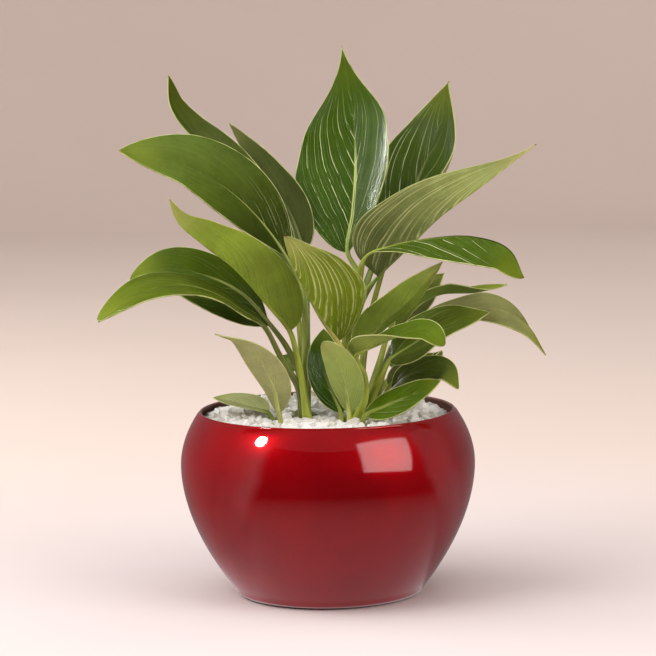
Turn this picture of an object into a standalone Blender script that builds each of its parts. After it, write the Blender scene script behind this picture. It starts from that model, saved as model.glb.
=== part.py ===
"""Potted birkin philodendron: a red metal bowl filled with soil, a cover of marble chips, three crowns
with their leaf stalks, and the leaf blades.

Metres, +Z up. The origin is the middle of the bowl's flat underside; -Y is the front.
Leaf tables are in millimetres and are scaled by MM when the meshes are made.
"""

import math
import random

import bmesh
import bpy
import numpy as np
from mathutils import Matrix, Vector

MM = 0.001
GAP = 0.3                    # clearance between neighbouring pieces

# Bowl, mm
POT_HEIGHT = 94.2
BELLY_RADIUS = 75.0
BELLY_HEIGHT = 66.4
RIM_RADIUS = 65.2
FOOT_RADIUS = 41.4           # flat disc that the bowl stands on
FOOT_ROUND = 3.2             # height of the rounded edge around that disc
WALL = 1.5
INNER_LEVELS = (9.0, 23.0, 38.0, 52.0, 64.0, 75.0)
LOWER_BEND = 1.85            # exponent of the wall's curve below the belly
LOWER_DROP = 0.0123
TURN_STEPS = 36

# Soil and cover, mm
SOIL_TOP = 79.7
COVER_FLOOR = 80.0
COVER_LEVEL = 91.5           # mean level of the chips at the middle
COVER_SLOPE = 0.05           # the cover rises a little to the back
COVER_EDGE_DROP = 4.5
VALLEY = 1.9                 # the hollows between the chips lie this far under the mean level
CHIP_PITCH = 7.6
CHIP_TOP = (0.2, 1.9)        # how far the corners of a chip's top rise over the mean level
CHIP_SEED = 12

# Leaves, mm
BLADE_THICKNESS = 0.8
STUB = 6.0                   # length of stalk that belongs to the blade's piece
STALK_SIDES = 7
STALK_STEP = 11.0            # distance between the rings of a stalk
SUNK = 6.0                   # how deep a stalk's root lies in the stem
WIDE_SECTIONS = (0.0, 0.04, 0.1, 0.18, 0.28, 0.4, 0.52, 0.64, 0.76, 0.87, 0.95, 1.0)
NARROW_SECTIONS = (0.0, 0.05, 0.13, 0.26, 0.42, 0.58, 0.73, 0.86, 0.95, 1.0)
WIDE_ACROSS = 7
NARROW_ACROSS = 5
RIDGE = 1.1                  # how far the midrib stands out under the blade's base

# Crowns: centre x, y and half widths of the short stem, mm
CROWN_FOOT = 66.0
CROWN_TOP = 93.0
CROWNS = {
    "crown_left": (-11.0, -4.5, 5.0, 9.5),
    "crown_right": (15.5, -10.0, 4.6, 8.4),
    "crown_back": (21.8, 6.2, 4.6, 7.6),
}

# Each leaf: stalk points, blade points (both along the midrib), the half widths left and right of the
# midrib looking from its base to its tip with the upper face up, and the upper face's direction at
# base, middle and tip. rise and fall shape the outline's two ends, tip slims the last third, fold and
# cup bend the halves up (degrees, left and right; fold_tip and cup_tip hold at the tip), and wave is
# the margin's ripple: height, count and phase. A leaf with no crown has a stalk of its own.
LEAVES = {
    "leaf_tall_centre": dict(
        crown="crown_right",
        stalk=[(15, -6, 90), (14, -4, 107), (12, 0, 132), (16, 5, 149), (17, 8, 162)],
        blade=[(12, 11, 173), (15, 20, 192), (17, 32, 215), (16, 45, 244), (11, 54, 277)],
        half=(32.5, 27.5), face=[(-.5, -.8, .35), (-.5, -.8, .35), (-.2, -.95, .3)],
        rise=.72, fall=1.15, tip=.6, fold=(20, 30), fold_tip=(8, 16), wave=(.7, 1.5, 0)),
    "leaf_tall_right": dict(
        crown="crown_right",
        stalk=[(16, -4, 90), (15, -1, 109), (14, 5, 134), (21, 12, 156)],
        blade=[(31, 21, 178), (43, 30, 195), (50, 36, 210), (57, 41, 225), (62, 43, 242), (66, 43, 258)],
        half=(22, 28), face=[(-.15, -.95, .3), (-.15, -.95, .3), (-.1, -.95, .1)],
        rise=(.8, .8), fall=(1.15, 1.4), fold=(14, 5), fold_tip=(8, 5), cup=(0, 135), cup_tip=(0, 50),
        wave=(.6, 1.5, 2)),
    "leaf_right_upright": dict(
        crown="crown_right",
        stalk=[(17, -8, 90), (15, -8, 107), (14, -6, 135), (19, -6, 151)],
        blade=[(27, -7, 162), (43, -13, 178), (57, -19, 192), (78, -27, 208), (105, -34, 229)],
        half=(28, 28), face=[(-.43, .65, .63), (-.43, .65, .63), (-.3, .8, .45)],
        rise=.36, fall=1.5, fold=(50, 40), wave=(.8, 1.5, 1)),
    "leaf_right_arched": dict(
        crown="crown_right",
        stalk=[(13.5, -12.5, 91), (12, -11, 109), (11, -10, 137), (16, -15, 156)],
        blade=[(21, -22, 174), (32, -26, 179), (49, -33, 183), (73, -40, 184), (90, -44, 178),
               (98, -45, 164)],
        half=(13, 17), face=[(0, -.5, .85), (.1, -.55, .8), (.45, -.5, .7)],
        rise=(.7, 1.4), fall=(.8, .65), fold=(-34, -16), wave=(.4, 1.5, 0)),
    "leaf_front_centre": dict(
        crown="crown_right",
        stalk=[(16, -14, 91), (17, -18, 102), (15, -23, 113), (10, -26, 124)],
        blade=[(6, -26, 132), (-3, -38, 147), (-10, -49, 162), (-16, -57, 176), (-19, -60, 188)],
        half=(27, 27), face=[(.42, .62, .66), (.42, .62, .66), (.4, .65, .55)],
        rise=.55, fall=.8, fold=(44, 50), wave=(.8, 1.2, 0)),
    "leaf_right_middle": dict(
        crown="crown_right",
        stalk=[(16, -10, 91), (17, -12, 103), (15, -14, 115)],
        blade=[(16, -16, 125), (26, -21, 138), (41, -30, 152), (58, -38, 172)],
        half=(10, 12), face=[(-.3, .75, .6), (-.3, .75, .6), (-.2, .8, .4)],
        rise=.6, fall=1.0, fold=(24, 22), wave=(.5, 1.5, 0)),
    "leaf_right_gutter": dict(
        crown="crown_right",
        stalk=[(15, -16, 91), (19, -24, 103), (19, -31, 115)],
        blade=[(15, -36, 126), (26, -44, 133), (38, -50, 138), (50, -54, 140), (58, -57, 133)],
        half=(10, 14), face=[(0, .1, 1), (0, -.2, 1), (.3, -.7, .6)],
        rise=.5, fall=.6, fold=(34, 38), fold_tip=(5, 5), wave=(.5, 1, 0)),
    "leaf_right_short": dict(
        crown="crown_back",
        stalk=[(20, 2, 90), (23, -4, 100), (27, -12, 110)],
        blade=[(32, -18, 121), (43, -22, 129), (58, -26, 138), (72, -29, 143), (82, -30, 146)],
        half=(17, 17), face=[(-.2, -.5, .82), (0, -.45, .88), (.2, -.5, .85)],
        rise=.6, fall=1.1, fold=(12, 8), wave=(.6, 1.5, 1), root=2.8),
    "leaf_right_drooping": dict(
        crown="crown_back",
        stalk=[(21, 4, 91), (25, 2, 100), (30, -2, 116)],
        blade=[(39, -6, 133), (52, -12, 142), (68, -18, 146), (87, -22, 146), (101, -24, 138),
               (110, -24, 123)],
        half=(14, 10), face=[(-.2, -.55, .8), (.1, -.6, .8), (.75, .3, .5)],
        rise=(1.4, 2.4), fall=(.9, .8), fold=(-4, -26), wave=(.4, 1.5, 0)),
    "leaf_right_level": dict(
        crown="crown_back",
        stalk=[(22, 8, 92), (25, 10, 99), (30, 12, 114)],
        blade=[(36, 16, 129), (46, 22, 143), (59, 28, 149), (78, 34, 149), (95, 40, 152)],
        half=(13, 13), face=[(-.2, .5, .8), (-.1, .3, .9), (0, -.3, .9)],
        rise=.6, fall=1.0, fold=(12, 12), wave=(.8, 1.5, 0)),
    "leaf_right_behind": dict(
        crown="crown_back",
        stalk=[(21, 10, 92), (23, 18, 101), (28, 27, 115)],
        blade=[(34, 35, 131), (45, 43, 142), (55, 50, 151), (63, 56, 157)],
        half=(11, 11), face=[(-.3, -.8, .5), (-.2, -.8, .5), (-.1, -.8, .5)],
        rise=.6, fall=1.1, fold=(15, 15)),
    "leaf_low_right_curled": dict(
        crown="crown_back",
        stalk=[(22, 0, 91), (26, -3, 97)],
        blade=[(33, -8, 104), (39, -13, 111), (50, -19, 116), (60, -24, 116), (66, -26, 107)],
        half=(8, 11), face=[(-.3, -.75, .6), (0, -.8, .6), (.9, -.35, 0)],
        rise=.55, fall=.6, fold=(5, 0), wave=(.4, 1.5, 0)),
    "leaf_low_right_behind": dict(
        crown="crown_back",
        stalk=[(24, 3, 91), (28, 3, 97)],
        blade=[(32, 5, 104), (38, 10, 110), (45, 16, 115), (56, 24, 119)],
        half=(6, 9), face=[(-.3, -.7, .6), (-.1, -.8, .6), (0, -.8, .6)],
        rise=.6, fall=1.1, fold=(10, 10)),
    "leaf_low_right_front": dict(
        crown=None,
        stalk=[(18, -24, 74), (17.5, -24, 85), (17.5, -24.5, 90)],
        blade=[(19.5, -26, 94.5), (29, -30, 99.5), (40, -36, 105), (49, -41, 110), (56, -45, 114)],
        half=(7.5, 10), face=[(-.2, -.7, .7), (-.1, -.75, .7), (0, -.75, .65)],
        rise=.6, fall=.8, fold=(14, 10), wave=(.4, 1.5, 0), root=1.8),
    "leaf_low_centre_dark": dict(
        crown=None,
        stalk=[(7, -16, 74), (7, -16, 84), (7, -16, 88)],
        blade=[(7, -16, 94), (3, -15, 104), (-1, -13, 116), (-2, -10, 126), (-1, -6, 136)],
        half=(9, 14), face=[(-.25, -.9, .25), (-.25, -.95, .2), (-.1, -.95, .1)],
        rise=.75, fall=.9, fold=(14, 22), wave=(.4, 1.5, 0), root=1.8),
    "leaf_low_centre_front": dict(
        crown=None,
        stalk=[(11, -24, 74), (11, -24, 84), (11, -24, 90)],
        blade=[(11, -25, 96), (10, -32, 107), (6, -41, 122), (-1, -48, 135)],
        half=(10, 7.5), face=[(.25, .9, .35), (.2, .9, .4), (.2, .85, .4)],
        rise=.6, fall=.6, fold=(6, 6), wave=(.3, 1.2, 0), root=1.8),
    "leaf_low_left_upright": dict(
        crown=None,
        stalk=[(-23, -22, 74), (-23, -22, 84), (-23, -23, 90)],
        blade=[(-24, -24, 96), (-26, -31, 110), (-33, -39, 124), (-42, -46, 134), (-54, -51, 140)],
        half=(10, 9), face=[(.4, .85, .2), (.35, .8, .5), (0, -.1, 1)],
        rise=.7, fall=.9, fold=(12, 10), wave=(.3, 1.2, 0), root=1.8),
    "leaf_low_left_flat": dict(
        crown=None,
        stalk=[(-25, -10, 74), (-26, -10, 84), (-27, -10, 89)],
        blade=[(-30, -8, 94), (-39, -4, 97), (-49, 2, 99), (-58, 8, 100)],
        half=(10, 10), face=[(0, -.2, 1), (0, -.2, 1), (0, -.2, 1)],
        rise=.6, fall=.9, fold=(14, 14), wave=(.3, 1.2, 0), root=1.5),
    "leaf_left_tall": dict(
        crown="crown_left",
        stalk=[(-11, -4, 91), (-11, -1, 109), (-10, 2, 129), (-11, 6, 157)],
        blade=[(-14, 9, 176), (-29, 15, 200), (-50, 21, 222), (-68, 26, 237), (-76, 27, 249),
               (-78, 26, 264)],
        half=(15, 14), face=[(.45, -.5, .75), (.4, -.55, .7), (.7, -.5, .2)],
        rise=(.85, 1.1), fall=(.9, .8), fold=(44, 10), fold_tip=(24, 0), wave=(.4, 1.5, 0)),
    "leaf_left_broad": dict(
        crown="crown_left",
        stalk=[(-12, -8, 91), (-12, -8, 110), (-11, -8, 131), (-12, -10, 156)],
        blade=[(-19, -12, 173), (-29, -16, 189), (-44, -24, 206), (-64, -34, 220), (-82, -41, 226),
               (-99, -46, 230)],
        half=(17, 25), face=[(-.1, -.75, .65), (-.15, -.75, .65), (-.1, -.7, .7)],
        rise=(1.0, .8), fall=(.85, .85), fold=(12, 8), cup=(-5, -30), wave=(.4, 1.5, 0)),
    "leaf_left_behind": dict(
        crown="crown_left",
        stalk=[(-10, 0, 91), (-9, 5, 108), (-9, 10, 128), (-9, 17, 153)],
        blade=[(-10, 22, 173), (-17, 28, 193), (-30, 36, 211), (-41, 43, 227), (-48, 48, 238)],
        half=(14, 14), face=[(.5, .6, .5), (.5, .6, .5), (.5, .6, .4)],
        rise=.6, fall=1.0, fold=(20, 20)),
    "leaf_left_middle": dict(
        crown="crown_left",
        stalk=[(-10, -12, 91), (-12, -16, 109), (-15, -19, 126)],
        blade=[(-18, -21, 137), (-30, -31, 154), (-44, -41, 171), (-59, -50, 184), (-70, -56, 195),
               (-74, -60, 207)],
        half=(20, 20), face=[(.4, .68, .62), (.4, .68, .62), (.4, .68, .62)],
        rise=.5, fall=1.0, fold=(46, 46), wave=(.4, 1.5, 0)),
    "leaf_left_wide_low": dict(
        crown="crown_left",
        stalk=[(-11, -6, 90), (-12, -5, 107), (-19, -3, 125)],
        blade=[(-28, -2, 138), (-41, 0, 153), (-57, 2, 162), (-79, 3, 167), (-99, 4, 162)],
        half=(23, 15.5), face=[(-.1, -.6, .8), (-.1, -.6, .8), (-.1, -.6, .8)],
        rise=(.7, 1.2), fall=(.9, .75), fold=(10, 10), cup=(-10, -10), wave=(.2, 1.5, 0)),
    "leaf_left_narrow_low": dict(
        crown="crown_left",
        stalk=[(-12, -10, 91), (-14, -14, 107), (-22, -18, 122)],
        blade=[(-31, -22, 140), (-42, -27, 149), (-55, -33, 158), (-70, -40, 163), (-88, -47, 161),
               (-111, -53, 147)],
        half=(20, 17), face=[(-.1, -.35, .93), (-.1, -.35, .93), (-.35, -.5, .8)],
        rise=(.7, .65), fall=(1.05, .55), fold=(14, 10), cup=(-10, -20), wave=(.3, 1.5, 0)),
    "leaf_back_left": dict(
        crown="crown_left",
        stalk=[(-11, 2, 90), (-12, 12, 105), (-13, 26, 126)],
        blade=[(-15, 38, 146), (-17, 52, 162), (-20, 70, 179), (-25, 88, 195)],
        half=(12, 12), face=[(0, -.6, .8), (0, -.5, .85), (0, .2, 1)],
        rise=.6, fall=1.0, fold=(20, 20), wave=(.6, 1.5, 0)),
    "leaf_back_right": dict(
        crown="crown_back",
        stalk=[(19, 9, 91), (18, 21, 105), (23, 36, 135)],
        blade=[(32, 50, 164), (38, 64, 179), (48, 82, 192), (63, 98, 201)],
        half=(13, 13), face=[(0, -.6, .8), (0, -.4, .85), (0, .2, 1)],
        rise=.6, fall=1.0, fold=(22, 22), wave=(.6, 1.5, 1)),
    "leaf_back_centre": dict(
        crown="crown_right",
        stalk=[(13, -4, 91), (11, 8, 103), (11, 22, 116)],
        blade=[(12, 36, 124), (14, 52, 130), (17, 76, 132), (18, 100, 127)],
        half=(17, 17), face=[(0, -.3, .95), (0, .1, 1), (0, .6, .8)],
        rise=.6, fall=1.0, fold=(12, 12), wave=(.6, 1.5, 0)),
    "leaf_back_low_left": dict(
        crown="crown_left",
        stalk=[(-11, 3, 91), (-13, 12, 99), (-16, 22, 105)],
        blade=[(-19, 31, 109), (-23, 46, 113), (-28, 62, 113), (-33, 78, 107)],
        half=(14, 14), face=[(0, -.3, .95), (0, .1, 1), (0, .6, .8)],
        rise=.6, fall=1.0, fold=(12, 12), wave=(.6, 1.5, 2)),
    "leaf_back_low_right": dict(
        crown="crown_back",
        stalk=[(23, 12, 91), (27, 20, 99), (33, 30, 105)],
        blade=[(37, 38, 108), (44, 52, 111), (53, 67, 111), (61, 82, 106)],
        half=(13, 13), face=[(0, -.3, .95), (0, .1, 1), (0, .6, .8)],
        rise=.6, fall=1.0, fold=(12, 12), wave=(.6, 1.5, 1)),
}

# Large leaves, which get more points across
WIDE = {"leaf_tall_centre", "leaf_tall_right", "leaf_right_upright", "leaf_right_arched",
        "leaf_front_centre", "leaf_left_tall", "leaf_left_broad", "leaf_left_middle",
        "leaf_left_wide_low", "leaf_left_narrow_low"}

# Colours are linear; leaves in light, middle and dark greens
MATERIALS = {
    "pot_red": ((0.16, 0.004, 0.006, 1), 0.16, 0.85),
    "soil_brown": ((0.035, 0.022, 0.014, 1), 0.95, 0.0),
    "marble_white": ((0.78, 0.75, 0.70, 1), 0.6, 0.0),
    "stalk_green": ((0.23, 0.30, 0.045, 1), 0.4, 0.0),
    "leaf_light": ((0.17, 0.23, 0.04, 1), 0.35, 0.0),
    "leaf_middle": ((0.10, 0.15, 0.03, 1), 0.32, 0.0),
    "leaf_dark": ((0.055, 0.09, 0.022, 1), 0.3, 0.0),
}
LIGHT_LEAVES = {"leaf_front_centre", "leaf_right_upright", "leaf_low_left_upright",
                "leaf_low_left_flat", "leaf_low_centre_front", "leaf_right_level"}
DARK_LEAVES = {"leaf_left_tall", "leaf_left_behind", "leaf_left_wide_low", "leaf_tall_right",
               "leaf_low_centre_dark", "leaf_right_short", "leaf_low_right_curled"}


def clear_scene():
    """Remove what the scene holds."""
    for item in list(bpy.data.objects):
        bpy.data.objects.remove(item, do_unlink=True)


def material(name):
    """The named Principled material, made once."""
    found = bpy.data.materials.get(name)
    if found:
        return found
    colour, roughness, metallic = MATERIALS[name]
    made = bpy.data.materials.new(name)
    made.use_nodes = True
    shader = made.node_tree.nodes["Principled BSDF"]
    shader.inputs["Base Color"].default_value = colour
    shader.inputs["Roughness"].default_value = roughness
    shader.inputs["Metallic"].default_value = metallic
    made.diffuse_color = colour
    return made


def object_from_bmesh(name, bm, material_name, smooth_angle=None):
    """An object with the bmesh's faces, which point outwards; frees the bmesh."""
    bmesh.ops.recalc_face_normals(bm, faces=bm.faces[:])
    mesh = bpy.data.meshes.new(name)
    bm.to_mesh(mesh)
    bm.free()
    if material_name:
        mesh.materials.append(material(material_name))
    if smooth_angle is not None:
        mesh.shade_smooth()
        mesh.set_sharp_from_angle(angle=math.radians(smooth_angle))
    made = bpy.data.objects.new(name, mesh)
    bpy.context.scene.collection.objects.link(made)
    return made


def hide_cutter(cutter):
    """Mark an object as a cutter, which is no part of the model."""
    cutter.hide_render = True
    cutter.display_type = "WIRE"


def boolean(target, others, operation):
    """Join to the target, or cut from it, all the other objects, and remove them."""
    group = bpy.data.collections.new("operands")
    bpy.context.scene.collection.children.link(group)
    for other in others:
        bpy.context.scene.collection.objects.unlink(other)
        group.objects.link(other)
    modifier = target.modifiers.new(operation.lower(), "BOOLEAN")
    modifier.operation = operation
    modifier.operand_type = "COLLECTION"
    modifier.collection = group
    modifier.solver = "EXACT"
    modifier.use_self = operation == "UNION"
    bpy.context.view_layer.update()
    evaluated = target.evaluated_get(bpy.context.evaluated_depsgraph_get())
    old = target.data
    target.data = bpy.data.meshes.new_from_object(evaluated)
    target.modifiers.clear()
    bpy.data.meshes.remove(old)
    target.data.name = target.name
    for other in others:
        bpy.data.objects.remove(other, do_unlink=True)
    bpy.data.collections.remove(group)


def keep_largest(target):
    """Drop the loose scraps that a cut leaves, and tidy the mesh into triangles."""
    bm = bmesh.new()
    bm.from_mesh(target.data)
    bmesh.ops.remove_doubles(bm, verts=bm.verts[:], dist=0.01 * MM)
    bmesh.ops.dissolve_degenerate(bm, edges=bm.edges[:], dist=0.01 * MM)
    bm.verts.ensure_lookup_table()
    seen, islands = set(), []
    for start in bm.verts:
        if start in seen:
            continue
        seen.add(start)
        island, queue = [start], [start]
        while queue:
            for edge in queue.pop().link_edges:
                for vert in edge.verts:
                    if vert not in seen:
                        seen.add(vert)
                        island.append(vert)
                        queue.append(vert)
        islands.append(island)
    islands.sort(key=len)
    for island in islands[:-1]:
        bmesh.ops.delete(bm, geom=island, context="VERTS")
    bmesh.ops.dissolve_limit(bm, angle_limit=math.radians(0.5), verts=bm.verts[:], edges=bm.edges[:])
    bmesh.ops.triangulate(bm, faces=bm.faces[:])
    bm.to_mesh(target.data)
    bm.free()


def unit(vectors):
    """Vectors of length one."""
    array = np.asarray(vectors, float)
    return array / np.linalg.norm(array, axis=-1, keepdims=True)


def pair(value):
    """A left and a right value, from one value or two."""
    return value if isinstance(value, tuple) else (value, value)


def smooth_path(knots, steps=20):
    """A centripetal Catmull-Rom curve through the knots; its points and the index of each knot."""
    given = np.asarray(knots, float)
    ends = np.vstack([2 * given[0] - given[1], given, 2 * given[-1] - given[-2]])
    points, marks = [given[0]], [0]
    for i in range(1, len(ends) - 2):
        p0, p1, p2, p3 = ends[i - 1:i + 3]
        t0 = 0.0
        t1 = t0 + math.sqrt(np.linalg.norm(p1 - p0))
        t2 = t1 + math.sqrt(np.linalg.norm(p2 - p1))
        t3 = t2 + math.sqrt(np.linalg.norm(p3 - p2))
        for k in range(1, steps + 1):
            t = t1 + (t2 - t1) * k / steps
            a1 = (t1 - t) / (t1 - t0) * p0 + (t - t0) / (t1 - t0) * p1
            a2 = (t2 - t) / (t2 - t1) * p1 + (t - t1) / (t2 - t1) * p2
            a3 = (t3 - t) / (t3 - t2) * p2 + (t - t2) / (t3 - t2) * p3
            b1 = (t2 - t) / (t2 - t0) * a1 + (t - t0) / (t2 - t0) * a2
            b2 = (t3 - t) / (t3 - t1) * a2 + (t - t1) / (t3 - t1) * a3
            points.append((t2 - t) / (t2 - t1) * b1 + (t - t1) / (t2 - t1) * b2)
        marks.append(len(points) - 1)
    return np.array(points), marks


class Spine:
    """The smooth line of a stalk and a midrib, read by its length in mm."""

    def __init__(self, leaf):
        self.points, marks = smooth_path(leaf["stalk"] + leaf["blade"])
        steps = np.linalg.norm(np.diff(self.points, axis=0), axis=1)
        self.length = np.concatenate([[0.0], np.cumsum(steps)])
        self.neck = self.length[marks[len(leaf["stalk"])]]
        self.end = self.length[-1]

    def at(self, distance):
        """Points at the given distances from the spine's start."""
        wanted = np.atleast_1d(distance)
        inside = np.stack([np.interp(wanted, self.length, self.points[:, k]) for k in range(3)], 1)
        before = np.minimum(wanted, 0.0)[:, None]
        return inside + before * unit(self.points[1] - self.points[0])

    def tangent(self, distance):
        """Directions at the given distances."""
        wanted = np.atleast_1d(distance)
        step = 0.5
        ahead = self.at(np.minimum(wanted + step, self.end))
        behind = self.at(wanted - step)
        return unit(ahead - behind)


def stalk_radius(leaf, spine, distance):
    """The stalk tapers from its root to the blade's neck."""
    root, neck = leaf.get("root", 2.3), 1.3
    return root + (neck - root) * np.clip(distance / spine.neck, 0.0, 1.0)


def half_width(t, leaf, side):
    """Half width of the blade along its length, for side 0 (left) or 1 (right)."""
    rise, fall = pair(leaf["rise"])[side], pair(leaf["fall"])[side]
    widest = rise / (rise + fall)
    inner = np.clip(t, 1e-6, 1 - 1e-6)
    slim = np.clip((inner - 0.6) / 0.4, 0.0, 1.0)
    width = pair(leaf["half"])[side] * (inner / widest) ** rise * ((1 - inner) / (1 - widest)) ** fall
    width = np.maximum(width * (1 - leaf.get("tip", 0.0) * slim * slim * (3 - 2 * slim)), 0.5)
    return np.where(t < 0.5, np.maximum(width, 1.3), width)


def blade_frames(leaf, spine, t):
    """Centres, tangents, upper-face normals and side directions at the fractions t of the blade."""
    distance = spine.neck + (spine.end - spine.neck) * t
    tangent = spine.tangent(distance)
    faces = [unit(vector) for vector in leaf["face"]]
    face = np.stack([np.interp(t, (0, 0.5, 1), [vector[k] for vector in faces]) for k in range(3)], 1)
    face = unit(face)
    normal = unit(face - (face * tangent).sum(1, keepdims=True) * tangent)
    return spine.at(distance), tangent, normal, np.cross(tangent, normal)


def blade_surface(leaf, spine, t, across):
    """Points and outward normals of the blade's upper face, a row for each fraction t of its length."""
    centre, _, normal, side = blade_frames(leaf, spine, t)
    fold, cup = pair(leaf["fold"]), pair(leaf.get("cup", 0))
    fold_tip, cup_tip = pair(leaf.get("fold_tip", fold)), pair(leaf.get("cup_tip", cup))
    height, count, phase = leaf.get("wave", (0, 2, 0))
    slices = (np.arange(12) + 0.5) / 12
    rows = np.zeros((len(t), across, 3))
    outward = np.zeros_like(rows)
    for j, u in enumerate(np.linspace(-1, 1, across)):
        k = 1 if u > 0 else 0
        reach = abs(u)
        width = half_width(t, leaf, k)
        start = fold[k] + (fold_tip[k] - fold[k]) * t
        bend = (cup[k] + (cup_tip[k] - cup[k]) * t) * np.minimum(1, 10 * t)
        angle = np.radians(start[:, None] + bend[:, None] * slices[None, :] * reach)
        out = np.cos(angle).mean(1) * reach * width
        up = np.sin(angle).mean(1) * reach * width
        ripple = np.sin(2 * math.pi * count * t + phase + 0.9 * k) * height * reach * reach
        up = up + ripple * np.minimum(1, 4 * (1 - t)) * np.minimum(1, 5 * t)
        hand = 0 if u == 0 else math.copysign(1, u)
        rows[:, j] = centre + side * (out * hand)[:, None] + normal * up[:, None]
        lean = np.radians(start + bend * reach) * np.clip((width - 0.5) / 3.0, 0.0, 1.0)
        outward[:, j] = normal * np.cos(lean)[:, None] - side * (np.sin(lean) * hand)[:, None]
        if u == 0:
            outward[:, j] = normal
    return rows, outward


def loft(loops, diagonal_flip):
    """A closed bmesh through the loops, in metres, with flat caps; all split into triangles.

    diagonal_flip says, for each step around a loop, which way its quads are split.
    """
    bm = bmesh.new()
    made = [[bm.verts.new(Vector(point) * MM) for point in loop] for loop in loops]
    count = len(made[0])
    for near, far in zip(made[:-1], made[1:]):
        for k in range(count):
            a, b, c, d = near[k], near[(k + 1) % count], far[(k + 1) % count], far[k]
            if diagonal_flip[k]:
                bm.faces.new((a, b, d))
                bm.faces.new((b, c, d))
            else:
                bm.faces.new((a, b, c))
                bm.faces.new((a, c, d))
    caps = [bm.faces.new(made[0]), bm.faces.new(list(reversed(made[-1])))]
    bmesh.ops.triangulate(bm, faces=caps)
    return bm


def leaf_loops(leaf, spine, t, across):
    """Closed loops around a blade and the piece of stalk that belongs to it, base to tip."""
    top, outward = blade_surface(leaf, spine, t, across)
    depth = np.full((len(t), across), BLADE_THICKNESS)
    depth[:, across // 2] += RIDGE * (1 - t) ** 1.5
    bottom = top - outward * depth[:, :, None]
    _, _, normal, side = blade_frames(leaf, spine, np.array([0.0]))
    first = 0.0 if leaf["crown"] is None else spine.neck - STUB + GAP / 2
    rings = max(2, int(round((spine.neck - first) / 5.0)))
    angles = [math.pi - (k + 0.5) * math.pi / across for k in range(2 * across)]
    loops = []
    for distance in np.linspace(first, spine.neck - 1.2, rings):
        centre = spine.at(distance)[0]
        tangent = spine.tangent(distance)[0]
        up = unit(normal[0] - tangent * float(normal[0] @ tangent))
        right = np.cross(tangent, up)
        radius = float(stalk_radius(leaf, spine, distance))
        loops.append([centre + right * radius * math.cos(a) + up * radius * math.sin(a) for a in angles])
    for i in range(len(t)):
        loops.append(list(top[i]) + list(bottom[i][::-1]))
    return loops


def build_leaf(name, leaf, spine):
    """One blade with the end of its stalk, or with its whole stalk where it has no crown."""
    wide = name in WIDE
    across = WIDE_ACROSS if wide else NARROW_ACROSS
    loops = leaf_loops(leaf, spine, np.array(WIDE_SECTIONS if wide else NARROW_SECTIONS), across)
    # the lower face runs the other way round the loop, so its diagonals are mirrored
    flip = [False] * (across - 1) + [False] + [True] * (across - 1) + [False]
    bm = loft(loops, flip)
    tone = "leaf_light" if name in LIGHT_LEAVES else "leaf_dark" if name in DARK_LEAVES else "leaf_middle"
    return object_from_bmesh(name, bm, tone, 40)


def tube(name, spine, distance, radii, sides, material_name=None):
    """A closed tube along a spine, with flat ends square to its line."""
    centres, tangent = spine.at(distance), spine.tangent(distance)
    up = unit(np.cross(tangent[0], (1.0, 0.0, 0.0)))
    loops = []
    for centre, direction, radius in zip(centres, tangent, radii):
        up = unit(up - direction * float(up @ direction))
        right = np.cross(direction, up)
        turns = [2 * math.pi * k / sides for k in range(sides)]
        loops.append([centre + (right * math.cos(a) + up * math.sin(a)) * radius for a in turns])
    return object_from_bmesh(name, loft(loops, [False] * sides), material_name)


def stalk(leaf, spine):
    """The stalk of a crown's leaf, up to the blade's piece."""
    end = spine.neck - STUB - GAP / 2
    distance = np.linspace(-SUNK, end, max(3, int(round(end / STALK_STEP)) + 1))
    return tube("stalk", spine, distance, stalk_radius(leaf, spine, distance), STALK_SIDES)


def root_cutter(leaf, spine):
    """A cutter that clears the cover round the lower end of a crown's stalk."""
    distance = np.linspace(-SUNK - 1.5, 20.0, 4)
    return tube("root_hole", spine, distance, stalk_radius(leaf, spine, distance) + 0.9, 6)


def stem(name, spec, levels, widths, material_name=None, sides=14):
    """An upright oval stem through the levels, its width scaled at each."""
    x, y, half_x, half_y = spec
    loops = []
    for level, (scale, extra) in zip(levels, widths):
        turns = [2 * math.pi * k / sides for k in range(sides)]
        loops.append([(x + (half_x * scale + extra) * math.cos(a),
                       y + (half_y * scale + extra) * math.sin(a), level) for a in turns])
    return object_from_bmesh(name, loft(loops, [False] * sides), material_name)


def build_crown(name, leaves, spines):
    """A short stem and the stalks that grow out of it, as one body."""
    levels = (CROWN_FOOT, CROWN_FOOT + 4, CROWN_TOP - 2.5, CROWN_TOP - 0.6, CROWN_TOP)
    widths = ((0.6, 0), (0.92, 0), (1.0, 0), (0.85, 0), (0.5, 0))
    crown = stem(name, CROWNS[name], levels, widths, "stalk_green")
    stalks = [stalk(leaf, spines[key]) for key, leaf in leaves.items() if leaf["crown"] == name]
    boolean(crown, stalks, "UNION")
    keep_largest(crown)
    crown.data.shade_smooth()
    crown.data.set_sharp_from_angle(angle=math.radians(50))
    return crown


def pot_radius(z):
    """Outside radius of the bowl's wall at height z, above its rounded foot."""
    if z < BELLY_HEIGHT:
        return BELLY_RADIUS - LOWER_DROP * (BELLY_HEIGHT - z) ** LOWER_BEND
    curve = (BELLY_RADIUS - RIM_RADIUS) / (POT_HEIGHT - BELLY_HEIGHT) ** 2
    return BELLY_RADIUS - curve * (z - BELLY_HEIGHT) ** 2


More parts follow.
